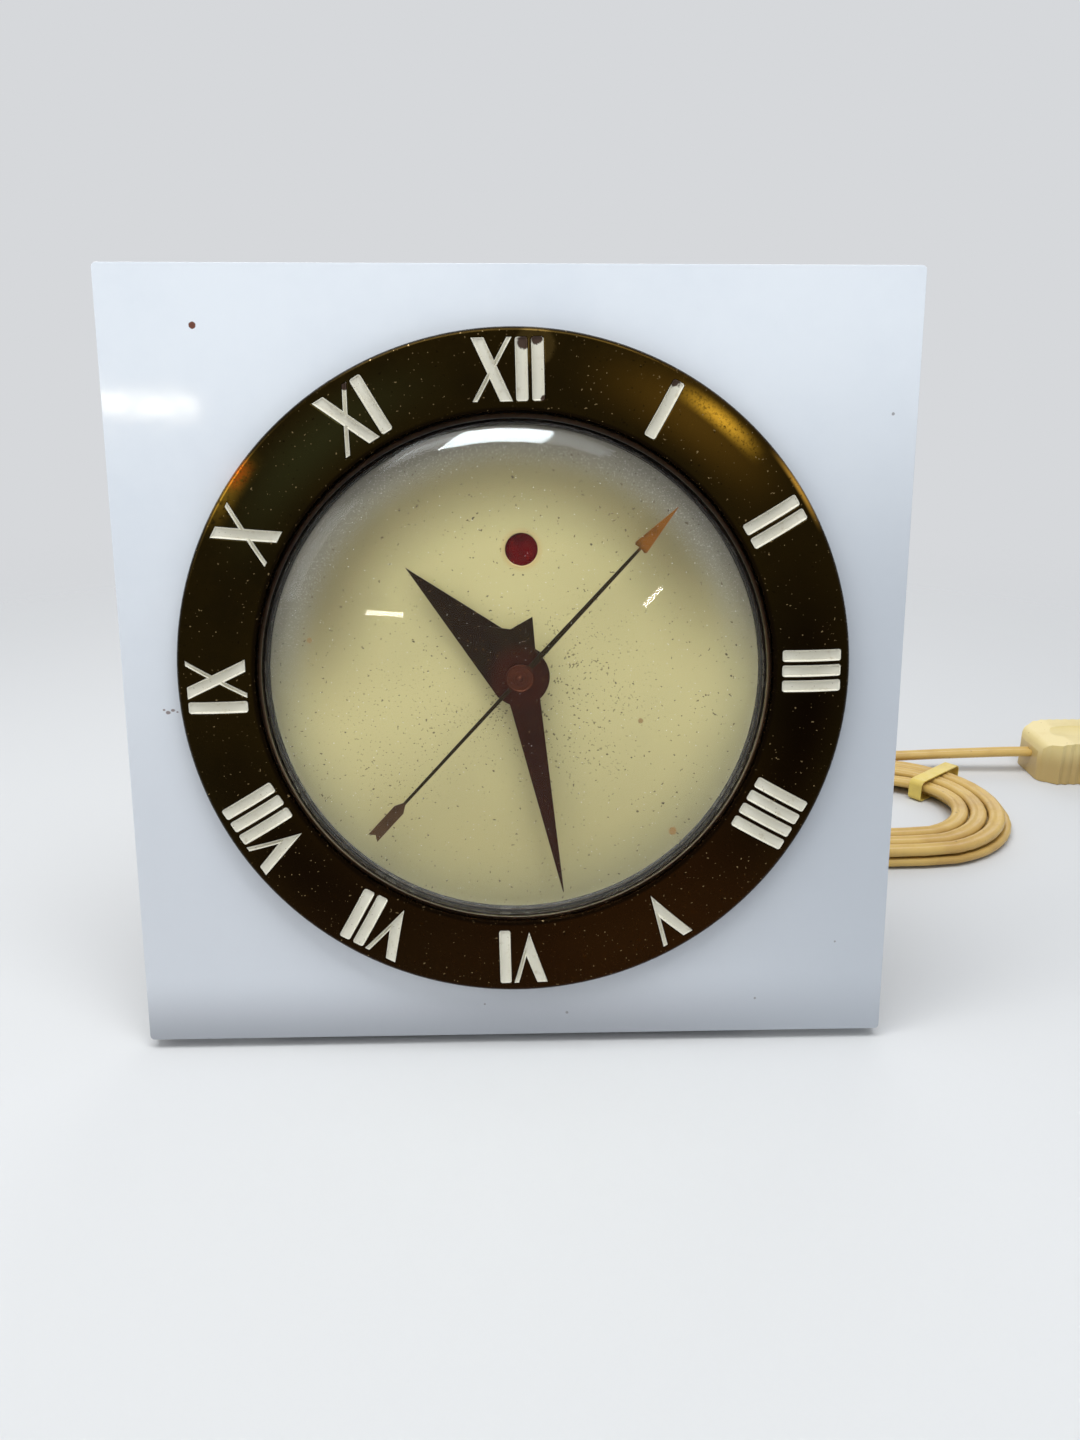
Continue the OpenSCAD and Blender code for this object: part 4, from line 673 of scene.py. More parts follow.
def build_materials():
    """Every finish of the clock, by the name of its slot."""
    c = colours()
    made = MATERIALS

    f = Finish("Opal panel", c.opal, 0.08, panel=True, Specular_IOR_Level=0.5)
    f.tint(f.patches(0.018, 0.35, 0.75), (222, 230, 240), 0.5)
    across, up = f.axis(0), f.axis(1)
    # painted shade: the panel darkens towards the bottom, more so along its bottom edge, and on its right side, as the
    # light falls on it
    f.tint(f.range(up, 80.0, -60.0), (206, 210, 216), 0.8)
    f.tint(f.range(up, -72.0, -92.0), (122, 125, 132), 0.7)
    f.tint(f.both(f.range(across, 20.0, 90.0), f.range(up, 85.0, 10.0)), (182, 189, 197), 0.6)
    f.tint(f.spot(-68.6, 76.3, 0.75, 0.12, 0.5), (112, 62, 44))
    for x, y, r in ((-79.3, -8.0, 0.55), (-78.2, -7.5, 0.45), (-80.2, -7.4, 0.3), (-77.2, -7.9, 0.25)):
        f.tint(f.spot(x, y, r, 0.25, 0.7, (1, 1.4, 0)), (120, 96, 88), 0.8)
    marks = ((-57, 50, 0.3), (83.5, 58, 0.35), (12, -83.5, 0.35), (58, -80.5, 0.3), (-8, -81, 0.25), (77, -66, 0.25))
    for x, y, r in marks:
        f.tint(f.spot(x, y, r, 0.2, 0.5), (126, 122, 120), 0.7)
    f.roughen(f.patches(0.25, 0.4, 0.7), 0.05, 0.10)
    f.relief(f.lines((0.04, 1.2, 1), 5.0), 0.0015, 0.25)
    made["opal_panel"] = f.done()

    f = Finish("Aged brass", c.brass, 0.24, metallic=1.0, panel=True)
    f.tint(f.patches(0.028, 0.38, 0.7), (26, 20, 7), 0.85)
    f.tint(f.spot(30, -64, 40, 0.6, 0.3), (46, 24, 8), 0.75)
    f.tint(f.spot(-30, -64, 34, 0.6, 0.3), (36, 20, 8), 0.7)
    f.tint(f.sector(100, 50, 67, 14), (12, 5, 2), 0.85)
    f.tint(f.sector(-130, 40, 67, 14), (18, 10, 4), 0.75)
    f.tint(f.sector(-40, 34, 67, 9), (50, 50, 26), 0.75)
    # painted highlight: a warm golden sheen, a bright glint across the crown and a thin bright line on the outer edge,
    # between one and two o'clock
    f.tint(f.sector(34, 26, 69, 10), (96, 68, 20), 0.8)
    f.tint(f.both(f.sector(38, 11, 72.2, 2.8), f.patches(1.6, 0.2, 0.55)), (250, 188, 56), 0.95)
    f.tint(f.sector(56, 9, 75.2, 0.9), (214, 160, 64), 0.9)
    f.tint(f.both(f.sector(-56, 9, 75.0, 4.2), f.patches(0.7, 0.25, 0.5)), (128, 98, 30), 0.85)
    f.tint(f.both(f.sector(-53, 4, 75.0, 3.2), f.patches(1.1, 0.3, 0.55)), (176, 86, 20), 0.85)
    # painted shade: a dark line along the ring's inner edge, where it meets the crystal
    f.tint(f.range(f.reach(), 59.6, 58.9), (18, 11, 5), 0.85)
    f.tint(f.spot(4.4, 72, 4.2, 0.15, 0.2), (90, 72, 36), 0.45)
    f.tint(f.flecks(1.5, 0.73), (170, 146, 104), 0.55)
    f.tint(f.flecks(1.1, 0.72), (20, 13, 5), 0.6)
    f.roughen(f.patches(0.5, 0.35, 0.7), 0.15, 0.32)
    f.relief(f.grain(2.2), 0.012, 0.35)
    made["ring_brass"] = f.done()

    f = Finish("Ivory paint", c.ivory, 0.6, panel=True, Specular_IOR_Level=0.25)
    f.tint(f.patches(0.5, 0.55, 0.8), (176, 160, 128), 0.55)
    f.tint(f.flecks(1.6, 0.72), (130, 112, 84), 0.6)
    for x, y, r in ((2.0, 72.6, 1.4), (4.8, 73.4, 1.2), (-36.4, 63.6, 0.9), (34.4, 65.2, 1.7), (6.6, 60.9, 0.9)):
        f.tint(f.spot(x, y, r, 0.15, 0.9), (56, 30, 14), 0.97)
    f.relief(f.grain(1.6), 0.06, 0.5)
    made["ivory_paint"] = f.done()

    f = Finish("Dial enamel", c.dial, 0.42, panel=True)
    f.tint(f.patches(0.022, 0.4, 0.75), (190, 178, 128), 0.8)
    f.tint(f.range(f.axis(1), -5.0, -50.0), (160, 148, 102), 0.5)
    radius = f.reach()
    # painted shade: the dial darkens towards its rim, under the ring
    f.tint(f.range(radius, 40.0, 60.0), (134, 132, 104), 0.6)
    f.tint(f.range(radius, 55.5, 58.5), (96, 90, 58), 0.5)
    f.tint(f.range(f.reach(*WINDOW), 5.2, 3.9), (190, 140, 74), 0.4)
    # painted shade across the upper dial, deepest just inside the rim, under the ring and the crystal's shoulder; near
    # the rim a grey painted reflection of the crystal's haze, with light flecks of dust
    upper = f.range(f.net.math("COSINE", f.net.plus(f.bearing(), 0.12)), -0.25, 0.55)
    f.tint(f.both(upper, f.range(radius, 8.0, 34.0)), (150, 140, 96), 0.28)
    f.tint(f.both(upper, f.range(radius, 29.0, 47.0)), (92, 78, 48), 0.76)
    rim = f.both(upper, f.range(radius, 45.0, 53.0))
    f.tint(rim, (134, 130, 120), 0.68)
    f.tint(f.both(rim, f.flecks(2.6, 0.62)), (190, 188, 178), 0.5)
    for x, y, r, seen in (
        (36.9, -37.7, 0.95, (160, 118, 60)),
        (-46.6, 8.3, 0.6, (140, 110, 66)),
        (28.8, -10.9, 0.6, (150, 116, 70)),
        (-12.0, 12.6, 0.45, (120, 96, 60)),
    ):
        f.tint(f.spot(x, y, r, 0.25, 0.7), seen, 0.9)
    f.tint(f.both(f.flecks(1.4, 0.672), f.range(f.reach(9, -6), 30.0, 6.0)), (84, 68, 34), 0.8)
    f.tint(f.both(f.flecks(1.6, 0.675), f.range(f.reach(-26, -13), 24.0, 4.0)), (92, 76, 40), 0.75)
    f.tint(f.flecks(1.3, 0.72), (76, 60, 30), 0.85)
    f.tint(f.flecks(0.8, 0.755), (58, 44, 22), 0.9)
    f.roughen(f.patches(0.2), 0.36, 0.5)
    f.relief(f.grain(1.2), 0.01, 0.3)
    made["dial_paint"] = f.done()

    f = Finish("Bronzed hands", c.hands, 0.4, metallic=0.55, panel=True, Specular_IOR_Level=0.1)
    f.tint(f.patches(0.12, 0.4, 0.7), (44, 32, 12), 0.6)
    # painted reflection: the hands turn red-brown towards the bottom of the dial, where the crystal's reddish
    # reflection lies
    f.tint(f.range(f.axis(1), 2.0, -6.0), (52, 17, 5), 0.7)
    f.tint(f.range(f.reach(*ARBOR), 9.0, 4.0), (70, 28, 14), 0.6)
    f.tint(f.flecks(1.6, 0.71), (150, 118, 80), 0.6)
    f.roughen(f.patches(0.6), 0.32, 0.5)
    f.relief(f.grain(2.4), 0.014, 0.4)
    made["hand_bronze"] = f.done()

    f = Finish("Coppered second hand", tone(44, 33, 16), 0.34, metallic=0.6, panel=True, Specular_IOR_Level=0.15)
    radius = f.reach(*ARBOR)
    end = f.range(radius, 38.0, 40.0)
    f.tint(end, (92, 66, 44), 0.8)
    # the half where the angle is positive holds the arrow, the other the paddle
    arrow = f.both(end, f.net.math("GREATER_THAN", f.bearing(*ARBOR), 0.0))
    f.tint(arrow, (140, 88, 34), 0.9)
    f.tint(f.range(radius, 3.6, 3.0), (84, 38, 20), 0.8)
    f.tint(f.patches(0.3, 0.5, 0.7), (60, 40, 24), 0.5)
    f.relief(f.grain(2.4), 0.014, 0.4)
    made["hand_copper"] = f.done()

    f = Finish("Red field", c.signal, 0.34, panel=True, Specular_IOR_Level=0.08)
    f.tint(f.patches(0.5, 0.4, 0.7), (66, 1, 3), 0.8)
    f.tint(f.flecks(1.4, 0.62), (140, 40, 30), 0.5)
    # the flag's other half is plain
    swing = f.bearing(*FLAG_PIVOT)
    f.blend(f.range(swing, math.radians(-73.7), math.radians(-73.9)), tuple(c.dial))
    f.relief(f.grain(1.5), 0.03, 0.5)
    made["flag_red"] = f.done()

    f = Finish("Vinyl cord", c.cord, 0.4, Specular_IOR_Level=0.45)
    f.tint(f.patches(0.06, 0.42, 0.72), (170, 128, 66), 0.5)
    f.tint(f.specks(0.5, 0.25, 0.25), (120, 86, 44), 0.4)
    f.roughen(f.patches(0.2), 0.33, 0.5)
    f.relief(f.grain(2.0), 0.03, 0.35)
    made["cord_vinyl"] = f.done()

    f = Finish("Plug vinyl", c.plug, 0.34)
    f.tint(f.patches(0.07, 0.45, 0.72), (212, 186, 112), 0.5)
    # painted shade: the lower part of the body darker, as its shaded sides
    f.tint(f.range(f.axis(2), 15.0, 6.0), (166, 132, 72), 0.7)
    f.tint(f.specks(0.6, 0.2, 0.22), (150, 120, 60), 0.4)
    f.relief(f.grain(2.4), 0.02, 0.3)
    made["plug_vinyl"] = f.done()

    f = Finish("Housing lacquer", c.housing, 0.42, metallic=0.25)
    f.tint(f.patches(0.05, 0.42, 0.7), (120, 104, 76), 0.5)
    f.tint(f.specks(0.8, 0.2, 0.2), (70, 58, 40), 0.6)
    f.roughen(f.patches(0.2), 0.36, 0.52)
    f.relief(f.grain(1.6), 0.02, 0.35)
    made["housing_paint"] = f.done()

    f = Finish("Laminated core", tone(92, 90, 90), 0.5, metallic=1.0, panel=True)
    f.tint(f.patches(0.2, 0.5, 0.72), (98, 62, 40), 0.5)
    f.relief(f.lines((0.02, 0.02, 1), 2.0), 0.15, 0.8)
    made["core_iron"] = f.done()

    f = Finish("Coil tape", tone(176, 96, 50), 0.6, panel=True)
    f.tint(f.patches(0.2, 0.45, 0.7), (116, 60, 34), 0.6)
    f.relief(f.lines((0.05, 1.0, 0.05), 1.2), 0.25, 0.8)
    made["coil_tape"] = f.done()

    f = Finish("Pressed board", tone(132, 92, 54), 0.85)
    f.tint(f.specks(1.0, 0.6, 0.4), (86, 56, 32), 0.7)
    f.relief(f.grain(1.4), 0.08, 0.6)
    made["pad_board"] = f.done()

    for slot, name, seen, roughness, grain in METALS:
        made[slot] = worn_metal(name, tone(*seen), roughness, grain)
    for slot, name, seen, roughness, dirt in MOULDINGS:
        made[slot] = moulded(name, tone(*seen), roughness, dirt)
    made["crystal_glass"] = glass_finish()


def glass_finish():
    """Clear glass with a dusty, faintly hazed rim and a dark painted shadow band at its seat; shadow rays pass straight
    through it.
    """
    material, net, shader = new_material("Crystal glass")
    net.put(shader, Transmission_Weight=1.0, IOR=1.47, Metallic=0.0, Specular_Tint=(0.2, 0.2, 0.2, 1))
    where = net.panel_plane()
    radius = net.group("Ring Radius", "Radius", Vector=where)
    rim = net.range(radius, 44.0, 57.5)
    dust = net.group("Specks", "Mask", Vector=where, Scale=1.6, Share=0.3, Size=0.13)
    # painted shadow: a dark brown band on the glass where it meets the ring's lip
    seat_shadow = net.range(radius, 56.6, 57.2)
    glass = net.mix(dust, (0.97, 0.985, 0.975), (0.8, 0.8, 0.78))
    net.link(net.mix(seat_shadow, glass, tone(74, 44, 26)), shader.inputs["Base Color"])
    haze = net.plus(net.range(rim, 0.0, 1.0, 0.0, 0.03, soft=False), net.times(dust, 0.3))
    rough = net.math("ADD", haze, net.times(seat_shadow, 0.4), clamp=True)
    net.link(rough, shader.inputs["Roughness"])
    clear = net.node("ShaderNodeBsdfTransparent").outputs[0]
    shadow = net.node("ShaderNodeLightPath").outputs["Is Shadow Ray"]
    mixed = net.put(net.node("ShaderNodeMixShader"), i0=shadow, i1=shader.outputs[0], i2=clear)
    net.link(mixed.outputs[0], material.node_tree.nodes["Material Output"].inputs["Surface"])
    return material


# ---------------------------------------------------------------- the cord's way

# the middle of the cord from the strain relief to the coil, and from the coil to the plug
LEAD = (
    (16, 39.5, 43.25), (16, 45, 42.5), (16.2, 51.5, 40.6), (16.8, 58.1, 36.8), (17.8, 63.9, 31.2), (19.2, 68.5, 24.5),
    (21, 72.9, 17.5), (23.4, 78.1, 11.1), (27, 84.9, 6.1), (31.6, 92.5, 3.2), (37.6, 100.9, 2.2), (45.6, 109.9, 1.95),
    (55, 117.9, 1.95), (66, 124.7, 1.95), (78.6, 129.7, 1.95), (92, 132.5, 1.95), (105, 133.2, 1.95),
    (112.4, 133.2, 1.95),
)
TAIL = (
    (123.6, 133.2, 5.35), (136, 133.2, 5.5), (150, 133, 6), (164, 132.4, 6.8), (178, 131.4, 7.6), (188, 131, 8),
    (197, 131, 8),
)
COIL_TURNS = 6
COIL_CENTRE = (118.0, 92.2)
COIL_RADIUS = 41.0
COIL_PITCH = 6.0
COIL_STRAIGHT = 24.0
# how steeply the line passes from one end of the oval to the other
COIL_CROSSING = 3.86
COIL_Z = 1.95
LAYER_PITCH = 3.4
COIL_STEPS = 40
PLUG_PLACE = (0.197, 0.131, 0)


def coil_point(turns):
    """A point of the coil: it winds in, climbs a layer and winds out again."""
    a = 2 * math.pi * turns
    radius = COIL_RADIUS - COIL_PITCH * min(turns, COIL_TURNS - turns)
    climb = max(0.0, min(1.0, (turns - COIL_TURNS / 2) * 2 + 0.5))
    side = max(-1.0, min(1.0, COIL_CROSSING * math.sin(a)))
    return Vector((
        COIL_CENTRE[0] + COIL_STRAIGHT / 2 * side + radius * math.sin(a),
        COIL_CENTRE[1] + radius * math.cos(a),
        COIL_Z + LAYER_PITCH * climb,
    ))


def flowing(points, parts=3):
    """A smooth line through points."""
    route = [Vector(p) for p in points]
    line = []
    for i in range(len(route) - 1):
        a, b, c, d = (route[max(i - 1, 0)], route[i], route[i + 1], route[min(i + 2, len(route) - 1)])
        for k in range(parts):
            t = k / parts
            near = 2 * b + (c - a) * t + (2 * a - 5 * b + 4 * c - d) * t * t
            line.append(0.5 * (near + (3 * b - a - 3 * c + d) * t**3))
    return line + [route[-1]]


def cord_line():
    coil = [coil_point(i / COIL_STEPS) for i in range(COIL_TURNS * COIL_STEPS + 1)]
    return flowing(LEAD) + coil + flowing(TAIL)


def cord_section(width, height):
    """Two round cores side by side with a groove between them."""
    r, notch = height / 2, 48
    x = width / 2 - r
    return arc(x, 0, r, notch - 180, 180 - notch, 12) + arc(-x, 0, r, notch, 360 - notch, 12)


# ---------------------------------------------------------------- operators


class CLOCK_OT_camera(bpy.types.Operator):
    """Sets the camera where the clock is seen from"""

    bl_idname = "clock.camera"
    bl_label = "Camera"

    def execute(self, context):
        deselect()
        aim = [math.radians(a) for a in (69.693, -0.187, -1.826)]
        bpy.ops.object.camera_add(location=(-0.002952, -0.280961, 0.174872), rotation=aim)
        camera = context.object
        camera.data.lens = 29.56
        camera.data.sensor_width = 36.0
        camera.data.clip_start = 0.01
        context.scene.camera = camera
        context.scene.view_settings.view_transform = "Standard"
        return {"FINISHED"}


class CLOCK_OT_finishes(bpy.types.Operator):
    """Builds the shader groups and the finishes"""

    bl_idname = "clock.finishes"
    bl_label = "Finishes"

    def execute(self, context):
        build_groups()
        build_materials()
        return {"FINISHED"}


class CLOCK_OT_cord(bpy.types.Operator):
    """Lays the flat cord from the case through its coil to the plug, with its tie and plug"""

    bl_idname = "clock.cord"
    bl_label = "Cord and Plug"

    def execute(self, context):
        s = sizes()
        line = [p * MM for p in cord_line()]
        section = [Vector((x * MM, y * MM, 0)) for x, y in cord_section(s.cord_width, s.cord_height)]
        profile = self.curve("cord_profile", section, True)
        cord = self.curve("power_cord", line, False)
        cord.data.twist_mode = "Z_UP"
        cord.data.bevel_mode = "OBJECT"
        cord.data.bevel_object = profile
        cord.data.use_fill_caps = True
        pick(cord)
        bpy.ops.object.convert(target="MESH")
        bpy.data.objects.remove(profile, do_unlink=True)
        smooth(cord, 50)
        finish_piece(cord, "case", "cord_vinyl", "cord_lead", "cord_coil", "cord_tail")
        tie = dressed("cord_tie", "coil_tie", "case", "tie_plastic", 0.15)
        body = self.plug_body()
        blades = dressed("plug_blades", "plug_pins", "case", "blade_brass")
        length = sum((b - a).length for a, b in zip(line, line[1:]))
        tuple(line[0])
        return {"FINISHED"}

    def curve(self, name, points, closed):
        data = bpy.data.curves.new(name, "CURVE")
        data.dimensions = "3D"
        spline = data.splines.new("POLY")
        spline.points.add(len(points) - 1)
        for point, place in zip(spline.points, points):
            point.co = (*place, 1)
        spline.use_cyclic_u = closed
        return linked(name, data)

    def plug_body(self):
        """The plug's body: its plan is drawn and raised, its back is sloped, and its grip is pressed in."""
        half, end = 13.5, 9.5
        flutes = [(6.2 + 0.62 * i, -half + 0.3 * (1 - math.cos(2 * math.pi * i / 5))) for i in range(36)]
        plan = arc(4, 4 - end - 1.5, 4, 180, 258, 12) + flutes + arc(32, 4 - half, 4, 278, 360, 12)
        plan = plan + [(x, -y) for x, y in reversed(plan)]
        body = risen("plug_shell", plan, 0, 16)
        side = [(-2, 11), (0, 11)] + arc(4.6, 10.6, 4.4, 170, 112, 9)[1:]
        side += [(9, 15.9), (11.5, 16.05), (23, 16.05), (30, 15.6), (34, 14.8), (36, 13.4), (38, 13.4)]
        side += [(38, 20), (-2, 20)]
        cut_away(body, prism("slope_cutter", [(x, -16, z) for x, z in side], (0, 32, 0)))
        bevel(body, 1.2, 4, 45)
        wide, deep = 9.0, 1.5
        turns = [math.radians(a) for a in range(10, 91, 10)]
        dish = [(0, -deep)] + [(wide * math.sin(a), -deep * math.cos(a)) for a in turns]
        dish = spun("grip_cutter", dish + [(wide + 0.4, 1.0), (wide + 0.4, 3), (0, 3)], 48, False)
        dish.data.transform(Matrix.Translation((18, 0, 16.3)) @ Matrix.Diagonal((1.5, 0.72, 1, 1)))
        cut_away(body, dish)
        place = Matrix.Translation(PLUG_PLACE) @ Matrix.Diagonal((MM, MM, MM, 1))
        return complete(body, 55, place, "case", "plug_vinyl", "plug_body")


class CLOCK_OT_panel(bpy.types.Operator):
    """Models the opal panel: a bevelled sheet with the opening and stud holes"""

    bl_idname = "clock.panel"
    bl_label = "Opal Panel"

    def execute(self, context):
        s = sizes()
        panel = risen("opal_sheet", rounded(s.panel_side, s.panel_side, 1.0, 3), -s.panel_thick, 0)
        cut_away(panel, peg("opening_cutter", s.panel_hole, -8, 2, 128))
        cut_away(panel, copies(peg("stud_cutter", 2.1, -8, 2), around(*STUDS)))
        bevel(panel, 0.5, 3, 40)
        complete(panel, 35, leaning(), "case", "opal_panel", "front_panel")
        return {"FINISHED"}


class CLOCK_OT_numeral_ring(bpy.types.Operator):
    """Spins the crowned ring, presses the numerals into it and fills them with paint"""

    bl_idname = "clock.numeral_ring"
    bl_label = "Numeral Ring"

    numerals = ("I", "II", "III", "IIII", "V", "VI", "VII", "VIII", "IX", "X", "XI", "XII")
    v_width, x_width, letter_gap = 8.0, 8.8, 0.6

    def execute(self, context):
        ring = self.ring()
        cut_away(ring, self.strokes(self.pressed), crossing=True)
        complete(ring, 28, leaning(), "case", "ring_brass", "numeral_ring")
        paint = self.strokes(self.filled)
        complete(paint, 50, leaning(), "case", "ivory_paint", "numeral_paint")
        return {"FINISHED"}

    def middle(self):
        s = sizes()
        return (s.ring_outer + s.ring_inner) / 2

    def crown(self, r):
        """The height of the crowned face at a radius."""
        s = sizes()
        return s.ring_height - s.ring_crown + math.sqrt(s.ring_crown**2 - (r - self.middle()) ** 2)

    def ring(self):
        s, middle = sizes(), self.middle()
        low = s.ring_height - s.ring_crown
        outer_r, inner_r = 1.4, 1.1
        rise = math.sqrt((s.ring_crown - outer_r) ** 2 - (s.ring_outer - outer_r - middle) ** 2)
        outer = (s.ring_outer - outer_r, low + rise)
        rise = math.sqrt((s.ring_crown - inner_r) ** 2 - (middle - s.ring_inner - inner_r) ** 2)
        inner = (s.ring_inner + inner_r, low + rise)
        outer_turn = math.degrees(math.atan2(outer[1] - low, outer[0] - middle))
        inner_turn = math.degrees(math.atan2(inner[1] - low, inner[0] - middle))
        under = s.ring_crown - 1.8
        half = (s.ring_outer - s.ring_inner) / 2 - 0.8
        under_turn = math.degrees(math.acos(half / under))
        section = [(s.ring_outer, 0.0)] + arc(*outer, outer_r, 0, outer_turn, 8)
        section += arc(middle, low, s.ring_crown, outer_turn, inner_turn, 24)[1:]
        section += arc(*inner, inner_r, inner_turn, 180, 8)[1:]
        section += [(s.ring_inner, 1.9), (middle - half, 1.9)]
        section += arc(middle, low, under, 180 - under_turn, under_turn, 8)
        section += [(middle + half, 0.0)]
        return spun("stamped_ring", section, 240)

    def bar(self):
        s = sizes()
        return rounded(s.bar_width, s.numeral_height, 0.55, 3, s.bar_width / 2, s.numeral_height / 2)

    def letter_v(self):
        top, w = sizes().numeral_height, self.v_width
        return [(0, top), (0.524 * w, 0.5), (w, top), (w - 1.15, top), (0.62 * w, 0.48 * top), (2.5, top)]

    def letter_x(self):
        top, w, thick, thin = sizes().numeral_height, self.x_width, 2.8, 1.15

        def cross(a, b, c, d):
            u, v, k = (b[0] - a[0], b[1] - a[1]), (d[0] - c[0], d[1] - c[1]), (c[0] - a[0], c[1] - a[1])
            t = (k[0] * v[1] - k[1] * v[0]) / (u[0] * v[1] - u[1] * v[0])
            return (a[0] + u[0] * t, a[1] + u[1] * t)

        tl, tr = ((0, top), (w - thick, 0)), ((thick, top), (w, 0))
        nl, nr = ((w - thin, top), (0, 0)), ((w, top), (thin, 0))
        outline = [tl[0], tr[0], cross(*tr, *nl), nl[0], nr[0], cross(*tr, *nr)]
        outline += [tr[1], tl[1], cross(*tl, *nr), nr[1], nl[1], cross(*tl, *nl)]
        return outline[::-1]

    def sheet(self, name, outline):
        """A stroke's outline, filled and open for editing."""
        edit_all(drawn(name, [(x, y, 0) for x, y in spaced(outline, 1.0)], filled=True))

    def pressed(self, name, outline):
        """The stamp of one stroke: wide and soft at its mouth, straight to its flat floor."""
        straight = 0.7
        self.sheet(name, outline)
        extrude(0, 0, straight)
        choose_above(straight - 0.01)
        for spread, rise in ((0.02, 0.2), (0.05, 0.14), (0.07, 0.08), (0.1, 0.05), (0.05, 0.3), (0.0, 1.6)):
            extrude(0, 0, rise)
            self.grow(spread)
        tidy_faces()
        return leave_edit()

    def grow(self, spread):
        """Widens the selected mouth by moving its rim outwards along the outline's own normals."""
        mesh = bmesh.from_edit_mesh(bpy.context.object.data)
        face = next(f for f in mesh.faces if f.select)
        loop = [corner.vert for corner in face.loops]
        count = len(loop)
        shifts = []
        for i in range(count):
            before, here, after = loop[i - 1].co, loop[i].co, loop[(i + 1) % count].co
            a = Vector((here.y - before.y, before.x - here.x)).normalized()
            b = Vector((after.y - here.y, here.x - after.x)).normalized()
            along = (a + b).normalized()
            shifts.append(along * (spread / max(0.45, along.dot(b))))
        sign = 1 if face.normal.z > 0 else -1
        for vert, shift in zip(loop, shifts):
            vert.co.x += shift.x * sign
            vert.co.y += shift.y * sign
        bmesh.update_edit_mesh(bpy.context.object.data)

    def filled(self, name, outline):
        """The paint in one stroke: it climbs the stamping's walls and lies hollow on its floor."""
        bottom, climb = 0.3, 0.8
        self.sheet(name, outline)
        self.grow(-0.04)
        extrude(0, 0, bottom)
        extrude(0, 0, climb)
        choose_above(bottom + climb - 0.05)
        for thickness in (0.1, 0.26):
            bpy.ops.mesh.inset(thickness=thickness, depth=0.0)
        bpy.ops.transform.translate(value=(0, 0, -climb))
        tidy_faces()
        return leave_edit()

    def strokes(self, make):
        """Every stroke of the numerals, placed round the ring."""
        s = sizes()
        outlines = {"I": self.bar(), "V": self.letter_v(), "X": self.letter_x()}
        width = {"I": s.bar_width, "V": self.v_width, "X": self.x_width}
        low, floor = self.middle() - s.numeral_height / 2, s.numeral_floor
        shapes = {letter: make("stroke_" + letter, outline) for letter, outline in outlines.items()}
        pieces = []
        for letter, shape in shapes.items():
            places = []
            for hour, word in enumerate(self.numerals, 1):
                starts, x = [], 0.0
                for before, c in zip(" " + word, word):
                    if starts:
                        x += width[before] + (s.bar_pitch - s.bar_width if c == before == "I" else self.letter_gap)
                    starts.append(x)
                whole = x + width[word[-1]]
                here = turn(math.degrees(s.numeral_turn) - 30 * hour)
                for start, c in zip(starts, word):
                    if c == letter:
                        places.append(here @ Matrix.Translation((start - whole / 2, low, floor)))
            pieces.append(copies(shape, places))
        whole = joined("numeral_strokes", pieces)
        for vert in whole.data.vertices:
            # the stroke's mouth follows the crowned face
            if floor + 0.5 < vert.co.z < floor + 2:
                vert.co.z += self.crown(math.hypot(vert.co.x, vert.co.y)) - s.ring_height
        return whole


class CLOCK_OT_crystal(bpy.types.Operator):
    """Spins the domed crystal with its rounded shoulder and flange, and its gasket"""

    bl_idname = "clock.crystal"
    bl_label = "Crystal"

    def execute(self, context):
        s = sizes()
        thick, shoulder, reach = 2.0, 8.8, 12.5
        side, dome = s.glass_radius, 300.0
        outside = self.face(side - reach, reach, shoulder, dome)
        inside = self.face(side - reach, reach - thick, shoulder - thick, dome - thick)[::-1]
        flange = [(side, 1.75), (side + 0.15, 1.6), (side + 2.6, 1.6), (side + 2.75, 1.45)]
        flange += [(side + 2.75, -0.05), (side + 2.6, -0.2), (side - thick, -0.2)]
        outside = [p for p in outside if p[1] > 1.8]
        inside = [p for p in inside if p[1] > -0.1]
        outside[0] = (0.0, outside[0][1])
        inside[-1] = (0.0, inside[-1][1])
        crystal = spun("domed_crystal", outside + flange + inside, 160, False)
        complete(crystal, 40, leaning(), "case", "crystal_glass", "crystal")
        dressed("crystal_gasket", "seal_ring", "case", "black_rubber", 0.1, finish="perished_rubber")
        return {"FINISHED"}

    def face(self, centre, reach, height, dome):
        """Half the section of one face: a shallow dome that rolls over an oval shoulder to its side."""
        low = 0.6
        fall = math.radians(84)
        for _ in range(12):
            edge = math.acos((centre + reach * math.cos(fall)) / dome)
            fall = math.atan2(math.sin(edge) * height, math.cos(edge) * reach)
        base = low + height * math.sin(fall) - dome * math.sin(edge)
        turns = [fall * k / 20 for k in range(19, -1, -1)]
        shoulder = [(centre + reach * math.cos(a), low + height * math.sin(a)) for a in turns]
        return arc(0, base, dome, 90, math.degrees(edge), 12) + shoulder


class CLOCK_OT_dial(bpy.types.Operator):
    """Models the dial with its rolled window edge, and its feet"""

    bl_idname = "clock.dial"
    bl_label = "Dial"

    def execute(self, context):
        front, back, edge = -1.2, -1.8, 60.6
        section = [(0, front), (edge - 0.2, front), (edge, front - 0.2), (edge, back), (0, back)]
        dial = spun("enamel_dial", section, 128, False)
        cut_away(dial, peg("hole_cutter", 1.9, -4, 1, 32, ARBOR))
        section = [(0, -4), (3.67, -4), (3.67, front - 0.2), (3.75, front - 0.06), (3.95, front + 0.01)]
        section += [(3.95, 1), (0, 1)]
        window = spun("window_cutter", section, 48, False)
        window.data.transform(Matrix.Translation((*WINDOW, 0)))
        cut_away(dial, window)
        complete(dial, 12, leaning(), "case", "dial_paint", "dial")
        dressed("dial_feet", "dial_posts", "case", "train_brass", 0.1)
        return {"FINISHED"}


